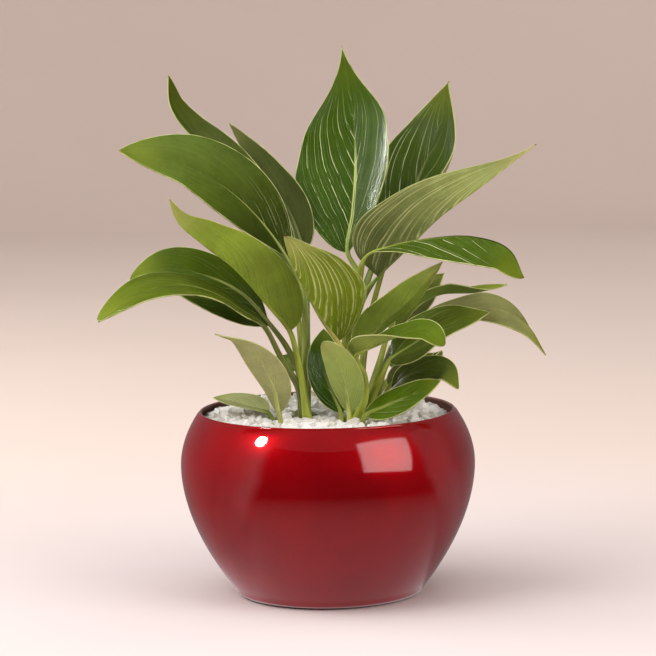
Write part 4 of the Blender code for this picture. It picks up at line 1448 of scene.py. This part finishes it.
@dataclass
class Lamp:
    """A studio light; lengths in metres, angles in degrees, and a small one is round."""

    name: str
    azimuth: float
    elevation: float
    distance: float
    size: Tuple[float, float]
    power: float
    colour: Colour = (1.0, 1.0, 1.0)
    mirrored: bool = False       # whether glossy surfaces show it

    def build(self) -> Piece:
        """Place the light so that it faces the target."""
        away = toward(self.azimuth, self.elevation)
        data = bpy.data.lights.new(self.name, "AREA")
        data.shape = "ELLIPSE" if self.size[0] < 0.2 else "RECTANGLE"
        data.size, data.size_y = self.size
        data.energy = self.power
        data.color = self.colour
        lamp = put_in_scene(self.name, data)
        lamp.location = TARGET + away * self.distance
        lamp.rotation_euler = away.to_track_quat("Z", "Y").to_euler()
        lamp.visible_camera = False
        lamp.visible_glossy = self.mirrored
        return lamp


@dataclass
class SoftBox:
    """A soft-edged light card that only reflections show; lengths in metres, angles in degrees."""

    name: str
    azimuth: float
    elevation: float
    distance: float
    size: Tuple[float, float]
    strength: float
    soft: float = 0.4
    roll: float = 0.0           # clockwise as the plant sees the card
    colour: Colour = (1.0, 0.97, 0.94)

    def build(self, palette: Palette) -> Piece:
        """Stand the card so that it faces the target."""
        away = np.array(toward(self.azimuth, self.elevation))
        level, r = np.array(toward(self.azimuth + 90, 0)), math.radians(self.roll)
        steep = np.cross(level, -away)
        right = math.cos(r) * level - math.sin(r) * steep
        up = math.sin(r) * level + math.cos(r) * steep
        share = np.linspace(-1, 1, 5)
        across, along = np.meshgrid(share, share)
        points = (np.array(TARGET) + away * self.distance
                  + (across * self.size[0] / 2)[:, :, None] * right
                  + (along * self.size[1] / 2)[:, :, None] * up)
        card = start_grid(self.name, 5, 5)
        lay_out(card, points / MM, {"card_place": np.stack([across, along, 0 * across], 2)})
        card.data.materials.append(palette.glow(self.name, self.colour, self.strength, self.soft))
        show_in_reflections_only(card)
        return card


def show_in_reflections_only(card: Piece) -> None:
    """Hide the card from the camera and the soft light."""
    card.visible_camera = card.visible_diffuse = card.visible_shadow = False
    card.visible_transmission = card.visible_volume_scatter = False


def light_only(lamp: Piece, pieces: Sequence[Piece], floor: Piece) -> None:
    """Let a lamp or card shine on these pieces alone, shaded by nothing but the floor."""
    receivers = bpy.data.collections.new(lamp.name + "_receivers")
    for piece in pieces:
        receivers.objects.link(piece)
    blockers = bpy.data.collections.new(lamp.name + "_blockers")
    blockers.objects.link(floor)
    lamp.light_linking.receiver_collection = receivers
    lamp.light_linking.blocker_collection = blockers


@dataclass
class Studio:
    """A pale floor that curves up all round, soft lights and the camera; lengths in metres."""

    floor_start: float = 0.02
    floor_rings: Sequence[float] = (0.05, 0.4, 1.0, 2.2)
    curve: float = 0.9
    wall_top: float = 2.2
    floor_sides: int = 96
    sky: Colour = (0.95, 0.93, 0.91)
    sky_strength: float = 0.30
    card_grid: Tuple[int, int] = (121, 6)
    card_far: float = 1.9
    card_top: float = 1.5
    card_foot: float = 0.046     # where the lying card starts, at the bowl's foot
    card_turns: Sequence[float] = (-180, -165, -90, -72, -58, -49, 76, 84, 104, 116, 165, 180)
    card_tones: Sequence[float] = (
        0.42, 0.24, 0.28, 0.52, 1.00, 0.02, 0.02, 0.55, 0.50, 0.30, 0.24, 0.42)
    # the lying card: where it darkens, and how bright it is there and at the bowl's foot
    card_near: Sequence[float] = (
        0.08, 0.08, 0.08, 0.09, 0.10, 0.135, 0.135, 0.105, 0.09, 0.08, 0.08, 0.08)
    card_melt: Sequence[float] = (
        0.38, 0.42, 0.45, 0.55, 0.65, 0.72, 0.62, 0.40, 0.28, 0.28, 0.30, 0.38)
    card_base: Sequence[float] = (
        0.55, 0.75, 0.85, 0.90, 1.05, 1.20, 0.80, 0.30, 0.22, 0.22, 0.30, 0.55)
    eye: Point = (0.00125, -1.3770, 0.3023)
    pitch: float = 0.1205        # how far the camera looks down, and how it is turned, in radians
    roll: float = -0.0179
    lens: float = 150.0          # mm, on a sensor 36 mm wide
    sensor: float = 36.0

    def build_cove(self, palette: Palette) -> Piece:
        """The floor and its curved-up wall."""
        line = [(radius, 0.0) for radius in self.floor_rings]
        radius = self.floor_rings[-1]
        for a in np.radians(range(10, 91, 10)):
            line.append((radius + self.curve * math.sin(a), self.curve * (1 - math.cos(a))))
        line.append((radius + self.curve, self.wall_top))
        pick()
        bpy.ops.mesh.primitive_circle_add(vertices=self.floor_sides, radius=self.floor_start,
                                          fill_type="NGON")
        cove = call("studio_floor")
        with editing():
            turn_profile(bpy.ops.mesh.extrude_region_move, line, self.floor_start)
            bpy.ops.mesh.delete(type="ONLY_FACE")
            select_mesh()
            bpy.ops.mesh.normals_make_consistent(inside=False)
        cove.data.shade_smooth()
        cove.data.materials.append(palette.floor(StudioFinish()))
        return cove

    def build_cards(self, palette: Palette) -> List[Piece]:
        """Cards that only the reflections show: dark before the bowl, dim at its sides.

        Args:
            palette: Where the material comes from.

        Returns:
            A ring that lies on the floor around the bowl and one that stands behind the camera.
        """
        columns, rows = self.card_grid
        degrees = np.linspace(self.card_turns[0], self.card_turns[-1], columns)
        turns = np.radians(degrees)
        tone, near, melt, base = (
            np.interp(degrees, self.card_turns, values)
            for values in (self.card_tones, self.card_near, self.card_melt, self.card_base))
        foot, far = (np.full(columns, reach) for reach in (self.card_foot, self.card_far))
        levels = np.linspace(np.zeros(columns), np.full(columns, self.card_top), rows)
        shapes = {
            "card_standing": ([far] * rows, levels, [tone] * rows),
            "card_lying": ([foot, near, near + 0.05, near + 0.10, near + 0.5, far],
                           np.full((rows, columns), MM),
                           [base, melt, (tone + melt) / 2, tone, tone, tone])}
        cloth = palette.card(StudioFinish())
        made = []
        for name, (reach, level, tones) in shapes.items():
            card = start_grid(name, columns, rows)
            points = np.stack([reach * np.sin(turns), reach * -np.cos(turns), level], 2)
            lay_out(card, points / MM, {"card_place": np.array(tones)[:, :, None]})
            card.data.materials.append(cloth)
            show_in_reflections_only(card)
            made.append(card)
        return made

    def build_camera(self) -> Piece:
        """The camera, level with the leaves and looking a little down."""
        data = bpy.data.cameras.new("camera")
        data.lens = self.lens
        data.sensor_width = self.sensor
        camera = put_in_scene("camera", data)
        turned = Matrix.Rotation(math.pi / 2 - self.pitch, 3, "X")
        camera.rotation_euler = (turned @ Matrix.Rotation(self.roll, 3, "Z")).to_euler()
        camera.location = self.eye
        bpy.context.scene.camera = camera
        return camera

    def build(self, palette: Palette) -> Tuple[Piece, List[Piece]]:
        """Set up lights, pale surroundings and camera; give back the floor and the cards."""
        floor = self.build_cove(palette)
        cards = self.build_cards(palette)
        self.build_camera()
        for lamp in LAMPS:
            lamp.build()
        world = bpy.data.worlds.new("studio")
        world.use_nodes = True
        ground = world.node_tree.nodes["Background"]
        ground.inputs["Color"].default_value = (*self.sky, 1.0)
        ground.inputs["Strength"].default_value = self.sky_strength
        bpy.context.scene.world = world
        bpy.context.scene.view_settings.view_transform = "Standard"
        return floor, cards


LAMPS = (
    Lamp("window_left", -106, 24, 1.5, (1.0, 0.80), 13.5, (1.0, 0.98, 0.95)),
    Lamp("soft_left", -60, 45, 1.6, (0.9, 0.9), 14.0),
    Lamp("soft_right", 52, 22, 1.25, (0.85, 0.70), 9.0, (1.0, 0.97, 0.94)),
    Lamp("overhead", 10, 82, 3.2, (3.4, 3.4), 72.0),
)

# The small hard light that the lacquer shows; it lights the bowl alone
SPOT = Lamp("spot_left", -64, 37, 1.25, (0.19, 0.22), 11.0, mirrored=True)

# Soft boxes that shine on the bowl alone
BOWL_BOXES = (
    SoftBox("box_right", 49, 23, 1.25, (1.0, 0.86), 5.4, 0.16, roll=9.0),
    SoftBox("box_top", 150, 68, 2.4, (2.2, 1.6), 0.8, 0.7),
)

# Soft boxes that shine on the leaves alone
LEAF_BOXES = (
    SoftBox("box_leaves_left", -132, 17, 1.3, (0.28, 0.19), 160.0, 0.8),
    SoftBox("box_leaves_front", -5, 20, 1.3, (0.08, 0.16), 150.0, 0.8),
)

# ---------------------------------------------------------------- the plant's own leaves

OLIVE_STALK = (0.21, 0.24, 0.06)
DARK_STALK = (0.26, 0.33, 0.09)
BRIGHT_STALK = (0.46, 0.56, 0.07)
PALE_STALK = (0.62, 0.68, 0.16)

# How thick a stalk is: see LeafDress
SLIM = (0.6, 0.75, 0.5)
SHEATHED = (1.1, 0.5, 6.0)

LEAVES: Dict[str, LeafForm] = {
    "tall_centre": LeafForm(
        crown="right", stalk=[(15, -6, 90), (14, -4, 107), (12, 0, 132), (16, 5, 149),
        (17, 8, 162)],
        blade=[(12, 11, 173), (15, 20, 192), (17, 32, 215), (16, 45, 244), (11, 54, 277)],
        half=(32.5, 27.5), face=[(-.5, -.8, .35), (-.5, -.8, .35), (-.2, -.95, .3)], rise=.72,
        fall=1.15, tip=.6, fold=(20, 30), fold_tip=(8, 16), wave=(.7, 1.5, 0),
        dress=LeafDress((0.037, 0.078, 0.003), (0.13, 0.17, 0.04), (1.0, 0.9, 0.62), 0.5,
            (12.0, 0.72, 0.033), (0.34, 0.42, 0.08), rib=1.0, tip=0.25)),
    "tall_right": LeafForm(
        crown="right", stalk=[(16, -4, 90), (15, -1, 109), (14, 5, 134), (21, 12, 156)],
        blade=[(31, 21, 178), (43, 30, 195), (50, 36, 210), (57, 41, 225), (62, 43, 242),
               (66, 43, 258)],
        half=(22, 28), face=[(-.15, -.95, .3), (-.15, -.95, .3), (-.1, -.95, .1)], rise=(.8, .8),
        fall=(1.15, 1.4), fold=(14, 5), fold_tip=(8, 5), cup=(0, 135), cup_tip=(0, 50),
        wave=(.6, 1.5, 2),
        dress=LeafDress((0.052, 0.090, 0.009), (0.22, 0.22, 0.08), (1.0, 0.3, 0.75), 1.0,
            (15.0, 0.95, 0.042), DARK_STALK, (1.1, 0.9, 2.0), rib=0.3, tip=0.4,
            slot=Slot.LEAF_DARK)),
    "right_upright": LeafForm(
        crown="right", stalk=[(17, -8, 90), (15, -8, 107), (14, -6, 135), (19, -6, 151)],
        blade=[(27, -7, 162), (43, -13, 178), (57, -19, 192), (78, -27, 208), (105, -34, 229)],
        half=(28, 28), face=[(-.43, .65, .63), (-.43, .65, .63), (-.3, .8, .45)], rise=.36,
        fall=1.5, fold=(50, 40), wave=(.8, 1.5, 1),
        dress=LeafDress((0.065, 0.110, 0.015), (0.270, 0.335, 0.100), (0.8, 0.8, 0.7), 1.0,
            (9.0, 1.15, 0.30), (0.20, 0.27, 0.05), SHEATHED, tip=1.0, base=0.42,
            slot=Slot.LEAF_LIGHT)),
    "right_arched": LeafForm(
        crown="right", stalk=[(13.5, -12.5, 91), (12, -11, 109), (11, -10, 137), (16, -15, 156)],
        blade=[(21, -22, 174), (32, -26, 179), (49, -33, 183), (73, -40, 184), (90, -44, 178),
               (98, -45, 164)],
        half=(13, 17), face=[(0, -.5, .85), (.1, -.55, .8), (.45, -.5, .7)], rise=(.7, 1.4),
        fall=(.8, .65), fold=(-34, -16),
        dress=LeafDress((0.047, 0.083, 0.003), (0.14, 0.17, 0.03), (0.8, 0.8, 0.55), 0.15,
            (13.0, 0.35, 0.03), BRIGHT_STALK, (1.2, 0.5, 7.0), rib=0.1, tip=0.3)),
    "front_centre": LeafForm(
        crown="right", stalk=[(16, -14, 91), (17, -18, 102), (15, -23, 113), (10, -26, 124)],
        blade=[(6, -26, 132), (-3, -38, 147), (-10, -49, 162), (-16, -57, 176), (-19, -60, 188)],
        half=(27, 27), face=[(.42, .62, .66), (.42, .62, .66), (.4, .65, .55)], rise=.55, fall=.8,
        fold=(44, 50), wave=(.8, 1.2, 0),
        dress=LeafDress((0.09, 0.14, 0.015), (0.138, 0.196, 0.008), (0.8, 0.8, 0.7), 0.9,
            (7.5, 1.05, 0.30), (0.60, 0.56, 0.14), tip=0.5, slot=Slot.LEAF_LIGHT)),
    "right_middle": LeafForm(
        crown="right", stalk=[(16, -10, 91), (17, -12, 103), (15, -14, 115)],
        blade=[(16, -16, 125), (26, -21, 138), (41, -30, 152), (58, -38, 172)],
        half=(10, 12), face=[(-.3, .75, .6), (-.3, .75, .6), (-.2, .8, .4)], fold=(24, 22),
        wave=(.5, 1.5, 0),
        dress=LeafDress((0.08, 0.12, 0.015), (0.178, 0.258, 0.032), stalk=BRIGHT_STALK)),
    "right_gutter": LeafForm(
        crown="right", stalk=[(15, -16, 91), (19, -24, 103), (19, -31, 115)],
        blade=[(15, -36, 126), (26, -44, 133), (38, -50, 138), (50, -54, 140), (58, -57, 133)],
        half=(10, 14), face=[(0, .1, 1), (0, -.2, 1), (.3, -.7, .6)], rise=.5, fall=.6,
        fold=(34, 38), fold_tip=(5, 5), wave=(.5, 1, 0),
        dress=LeafDress((0.073, 0.120, 0.005), (0.25, 0.33, 0.065), stalk=BRIGHT_STALK, rib=0.1,
            tip=0.2)),
    "right_short": LeafForm(
        crown="back", stalk=[(20, 2, 90), (23, -4, 100), (27, -12, 110)],
        blade=[(32, -18, 121), (43, -22, 129), (58, -26, 138), (72, -29, 143), (82, -30, 146)],
        half=(17, 17), face=[(-.2, -.5, .82), (0, -.45, .88), (.2, -.5, .85)], fall=1.1,
        fold=(12, 8), wave=(.6, 1.5, 1), root=2.8,
        dress=LeafDress((0.080, 0.116, 0.010), (0.12, 0.15, 0.03), (0.5, 0.5, 0.5), 0.1,
            (12.0, 0.8, 0.03), BRIGHT_STALK, slot=Slot.LEAF_DARK)),
    "right_drooping": LeafForm(
        crown="back", stalk=[(21, 4, 91), (25, 2, 100), (30, -2, 116)],
        blade=[(39, -6, 133), (52, -12, 142), (68, -18, 146), (87, -22, 146), (101, -24, 138),
               (110, -24, 123)],
        half=(14, 10), face=[(-.2, -.55, .8), (.1, -.6, .8), (.75, .3, .5)], rise=(1.4, 2.4),
        fall=(.9, .8), fold=(-4, -26),
        dress=LeafDress((0.20, 0.21, 0.070), (0.24, 0.22, 0.08), stalk=OLIVE_STALK, rib=0.1)),
    "right_level": LeafForm(
        crown="back", stalk=[(22, 8, 92), (25, 10, 99), (30, 12, 114)],
        blade=[(36, 16, 129), (46, 22, 143), (59, 28, 149), (78, 34, 149), (95, 40, 152)],
        half=(13, 13), face=[(-.2, .5, .8), (-.1, .3, .9), (0, -.3, .9)], fold=(12, 12),
        wave=(.8, 1.5, 0),
        dress=LeafDress((0.15, 0.18, 0.03), (0.120, 0.190, 0.020), stalk=OLIVE_STALK, tip=0.8,
            slot=Slot.LEAF_LIGHT)),
    "right_behind": LeafForm(
        crown="back", stalk=[(21, 10, 92), (23, 18, 101), (28, 27, 115)],
        blade=[(34, 35, 131), (45, 43, 142), (55, 50, 151), (63, 56, 157)],
        half=(11, 11), face=[(-.3, -.8, .5), (-.2, -.8, .5), (-.1, -.8, .5)], fall=1.1,
        fold=(15, 15), wave=(0, 1.5, 0),
        dress=LeafDress((0.10, 0.12, 0.025), (0.12, 0.14, 0.03))),
    "low_right_curled": LeafForm(
        crown="back", stalk=[(22, 0, 91), (26, -3, 97)],
        blade=[(33, -8, 104), (39, -13, 111), (50, -19, 116), (60, -24, 116), (66, -26, 107)],
        half=(8, 11), face=[(-.3, -.75, .6), (0, -.8, .6), (.9, -.35, 0)], rise=.55, fall=.6,
        fold=(5, 0),
        dress=LeafDress((0.064, 0.096, 0.014), (0.11, 0.12, 0.03), stalk=OLIVE_STALK, rib=0.1,
            slot=Slot.LEAF_DARK, size=LeafSize.SMALL)),
    "low_right_behind": LeafForm(
        crown="back", stalk=[(24, 3, 91), (28, 3, 97)],
        blade=[(32, 5, 104), (38, 10, 110), (45, 16, 115), (56, 24, 119)],
        half=(6, 9), face=[(-.3, -.7, .6), (-.1, -.8, .6), (0, -.8, .6)], fall=1.1, fold=(10, 10),
        wave=(0, 1.5, 0),
        dress=LeafDress((0.09, 0.10, 0.02), (0.13, 0.15, 0.03), size=LeafSize.SMALL)),
    "low_right_front": LeafForm(
        crown=None, stalk=[(18, -24, 74), (17.5, -24, 85), (17.5, -24.5, 90)],
        blade=[(19.5, -26, 94.5), (29, -30, 99.5), (40, -36, 105), (49, -41, 110), (56, -45, 114)],
        half=(7.5, 10), face=[(-.2, -.7, .7), (-.1, -.75, .7), (0, -.75, .65)], fall=.8,
        fold=(14, 10), root=1.8,
        dress=LeafDress((0.076, 0.142, 0.003), (0.12, 0.16, 0.03), (0.25, 0.25, 0.6),
            stalk=BRIGHT_STALK, rib=0.35, size=LeafSize.SMALL)),
    "low_centre_dark": LeafForm(
        crown=None, stalk=[(7, -16, 74), (7, -16, 84), (7, -16, 88)],
        blade=[(7, -16, 94), (3, -15, 104), (-1, -13, 116), (-2, -10, 126), (-1, -6, 136)],
        half=(9, 14), face=[(-.25, -.9, .25), (-.25, -.95, .2), (-.1, -.95, .1)], rise=.75,
        fall=.9, fold=(14, 22), root=1.8,
        dress=LeafDress((0.032, 0.078, 0.004), (0.08, 0.11, 0.02), (0.3, 0.3, 0.5),
            stalk=BRIGHT_STALK, rib=0.2, slot=Slot.LEAF_DARK, size=LeafSize.SMALL)),
    "low_centre_front": LeafForm(
        crown=None, stalk=[(11, -24, 74), (11, -24, 84), (11, -24, 90)],
        blade=[(11, -25, 96), (10, -32, 107), (6, -41, 122), (-1, -48, 135)],
        half=(10, 7.5), face=[(.25, .9, .35), (.2, .9, .4), (.2, .85, .4)], fall=.6, fold=(6, 6),
        wave=(.3, 1.2, 0), root=1.8,
        dress=LeafDress((0.10, 0.15, 0.03), (0.29, 0.38, 0.092), slot=Slot.LEAF_LIGHT, rib=0.1,
            stalk=PALE_STALK, size=LeafSize.SMALL)),
    "low_left_upright": LeafForm(
        crown=None, stalk=[(-23, -22, 74), (-23, -22, 84), (-23, -23, 90)],
        blade=[(-24, -24, 96), (-26, -31, 110), (-33, -39, 124), (-42, -46, 134), (-54, -51, 140)],
        half=(10, 9), face=[(.4, .85, .2), (.35, .8, .5), (0, -.1, 1)], rise=.7, fall=.9,
        fold=(12, 10), wave=(.3, 1.2, 0), root=1.8,
        dress=LeafDress((0.12, 0.17, 0.04), (0.36, 0.38, 0.16), slot=Slot.LEAF_LIGHT, rib=0.1,
            stalk=PALE_STALK, size=LeafSize.SMALL)),
    "low_left_flat": LeafForm(
        crown=None, stalk=[(-25, -10, 74), (-26, -10, 84), (-27, -10, 89)],
        blade=[(-30, -8, 94), (-39, -4, 97), (-49, 2, 99), (-58, 8, 100)],
        half=(10, 10), face=[(0, -.2, 1)] * 3, fall=.9, fold=(14, 14), wave=(.3, 1.2, 0), root=1.5,
        dress=LeafDress((0.37, 0.40, 0.17), (0.30, 0.33, 0.12), slot=Slot.LEAF_LIGHT, rib=0.3,
            tip=0.6, size=LeafSize.SMALL)),
    "left_tall": LeafForm(
        crown="left", stalk=[(-11, -4, 91), (-11, -1, 109), (-10, 2, 129), (-11, 6, 157)],
        blade=[(-14, 9, 176), (-29, 15, 200), (-50, 21, 222), (-68, 26, 237), (-76, 27, 249),
               (-78, 26, 264)],
        half=(15, 14), face=[(.45, -.5, .75), (.4, -.55, .7), (.7, -.5, .2)], rise=(.85, 1.1),
        fall=(.9, .8), fold=(44, 10), fold_tip=(24, 0),
        dress=LeafDress((0.050, 0.068, 0.007), (0.22, 0.26, 0.08), stalk=DARK_STALK, girth=SLIM,
            rib=0.1, tip=0.15, slot=Slot.LEAF_DARK)),
    "left_broad": LeafForm(
        crown="left", stalk=[(-12, -8, 91), (-12, -8, 110), (-11, -8, 131), (-12, -10, 156)],
        blade=[(-19, -12, 173), (-29, -16, 189), (-44, -24, 206), (-64, -34, 220),
               (-82, -41, 226), (-99, -46, 230)],
        half=(17, 25), face=[(-.1, -.75, .65), (-.15, -.75, .65), (-.1, -.7, .7)], rise=(1.0, .8),
        fall=(.85, .85), fold=(12, 8), cup=(-5, -30),
        dress=LeafDress((0.080, 0.122, 0.013), (0.15, 0.18, 0.04), (0.1, 0.7, 0.15), 0.2,
            (14.0, 0.9, 0.03), (0.40, 0.48, 0.11), SLIM, rib=0.0, tip=0.45, base=0.38)),
    "left_behind": LeafForm(
        crown="left", stalk=[(-10, 0, 91), (-9, 5, 108), (-9, 10, 128), (-9, 17, 153)],
        blade=[(-10, 22, 173), (-17, 28, 193), (-30, 36, 211), (-41, 43, 227), (-48, 48, 238)],
        half=(14, 14), face=[(.5, .6, .5), (.5, .6, .5), (.5, .6, .4)], fold=(20, 20),
        wave=(0, 1.5, 0),
        dress=LeafDress((0.07, 0.09, 0.02), (0.064, 0.086, 0.019), stalk=DARK_STALK, girth=SLIM,
            rib=0.1, tip=0.2, slot=Slot.LEAF_DARK)),
    "left_middle": LeafForm(
        crown="left", stalk=[(-10, -12, 91), (-12, -16, 109), (-15, -19, 126)],
        blade=[(-18, -21, 137), (-30, -31, 154), (-44, -41, 171), (-59, -50, 184),
               (-70, -56, 195), (-74, -60, 207)],
        half=(20, 20), face=[(.4, .68, .62)] * 3, rise=.5, fold=(46, 46),
        dress=LeafDress((0.09, 0.14, 0.02), (0.200, 0.285, 0.028), (0.3, 0.3, 0.4), 0.06,
            stalk=BRIGHT_STALK, rib=0.1, tip=0.6)),
    "left_wide_low": LeafForm(
        crown="left", stalk=[(-11, -6, 90), (-12, -5, 107), (-19, -3, 125)],
        blade=[(-28, -2, 138), (-41, 0, 153), (-57, 2, 162), (-79, 3, 167), (-99, 4, 162)],
        half=(23, 15.5), face=[(-.1, -.6, .8)] * 3, rise=(.7, 1.2), fall=(.9, .75), fold=(10, 10),
        cup=(-10, -10), wave=(.2, 1.5, 0),
        dress=LeafDress((0.050, 0.086, 0.002), (0.13, 0.16, 0.04), stalk=OLIVE_STALK, rib=0.4,
            tip=0.5, base=0.6, slot=Slot.LEAF_DARK)),
    "left_narrow_low": LeafForm(
        crown="left", stalk=[(-12, -10, 91), (-14, -14, 107), (-22, -18, 122)],
        blade=[(-31, -22, 140), (-42, -27, 149), (-55, -33, 158), (-70, -40, 163),
               (-88, -47, 161), (-111, -53, 147)],
        half=(20, 17), face=[(-.1, -.35, .93), (-.1, -.35, .93), (-.35, -.5, .8)], rise=(.7, .65),
        fall=(1.05, .55), fold=(14, 10), cup=(-10, -20), wave=(.3, 1.5, 0),
        dress=LeafDress((0.085, 0.122, 0.004), (0.040, 0.050, 0.015), stalk=OLIVE_STALK, rib=0.35,
            tip=0.5)),
    "back_left": LeafForm(
        crown="left", stalk=[(-11, 2, 90), (-12, 12, 105), (-13, 26, 126)],
        blade=[(-15, 38, 146), (-17, 52, 162), (-20, 70, 179), (-25, 88, 195)],
        half=(12, 12), face=[(0, -.6, .8), (0, -.5, .85), (0, .2, 1)], fold=(20, 20),
        wave=(.6, 1.5, 0)),
    "back_right": LeafForm(
        crown="back", stalk=[(19, 9, 91), (18, 21, 105), (23, 36, 135)],
        blade=[(32, 50, 164), (38, 64, 179), (48, 82, 192), (63, 98, 201)],
        half=(13, 13), face=[(0, -.6, .8), (0, -.4, .85), (0, .2, 1)], fold=(22, 22),
        wave=(.6, 1.5, 1)),
    "back_centre": LeafForm(
        crown="right", stalk=[(13, -4, 91), (11, 8, 103), (11, 22, 116)],
        blade=[(12, 36, 124), (14, 52, 130), (17, 76, 132), (18, 100, 127)],
        half=(17, 17), face=[(0, -.3, .95), (0, .1, 1), (0, .6, .8)], fold=(12, 12),
        wave=(.6, 1.5, 0)),
    "back_low_left": LeafForm(
        crown="left", stalk=[(-11, 3, 91), (-13, 12, 99), (-16, 22, 105)],
        blade=[(-19, 31, 109), (-23, 46, 113), (-28, 62, 113), (-33, 78, 107)],
        half=(14, 14), face=[(0, -.3, .95), (0, .1, 1), (0, .6, .8)], fold=(12, 12),
        wave=(.6, 1.5, 2)),
    "back_low_right": LeafForm(
        crown="back", stalk=[(23, 12, 91), (27, 20, 99), (33, 30, 105)],
        blade=[(37, 38, 108), (44, 52, 111), (53, 67, 111), (61, 82, 106)],
        half=(13, 13), face=[(0, -.3, .95), (0, .1, 1), (0, .6, .8)], fold=(12, 12),
        wave=(.6, 1.5, 1)),
}

CROWNS = (
    Crown("left", (-11.0, -4.5), (5.0, 9.5)),
    Crown("right", (15.5, -10.0), (4.6, 8.4)),
    Crown("back", (21.8, 6.2), (4.6, 7.6)),
)


# ---------------------------------------------------------------- making

def write_sizes() -> None:
    """Bring the scene's transforms up to date."""
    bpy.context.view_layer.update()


def main() -> None:
    """Build the studio and every piece of the plant."""
    logging.basicConfig(level=logging.INFO, format="%(message)s")
    palette = Palette()
    floor, cards = Studio().build(palette)
    blades = [Blade(name, form, SEED_STEP * k) for k, (name, form) in enumerate(LEAVES.items())]
    leaves = [blade.build(palette) for blade in blades]
    for box in LEAF_BOXES:
        light_only(box.build(palette), leaves, floor)
    for crown in CROWNS:
        crown.build(blades, palette)
    bowl = Bowl()
    dressed = bowl.build(palette)
    for light in [SPOT.build()] + cards + [box.build(palette) for box in BOWL_BOXES]:
        light_only(light, [dressed], floor)
    cover = ChipCover(bowl)
    cover.build_chips(palette, blades, CROWNS)
    cover.build_bed(palette)
    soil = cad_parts["soil"]
    soil.data.materials.clear()
    soil.data.materials.append(palette.soil(SoilFinish()))
    LOG.info("soil: kept from the CAD, dressed")
    bpy.ops.object.select_all(action="DESELECT")
    write_sizes()


if __name__ == "__main__":
    main()
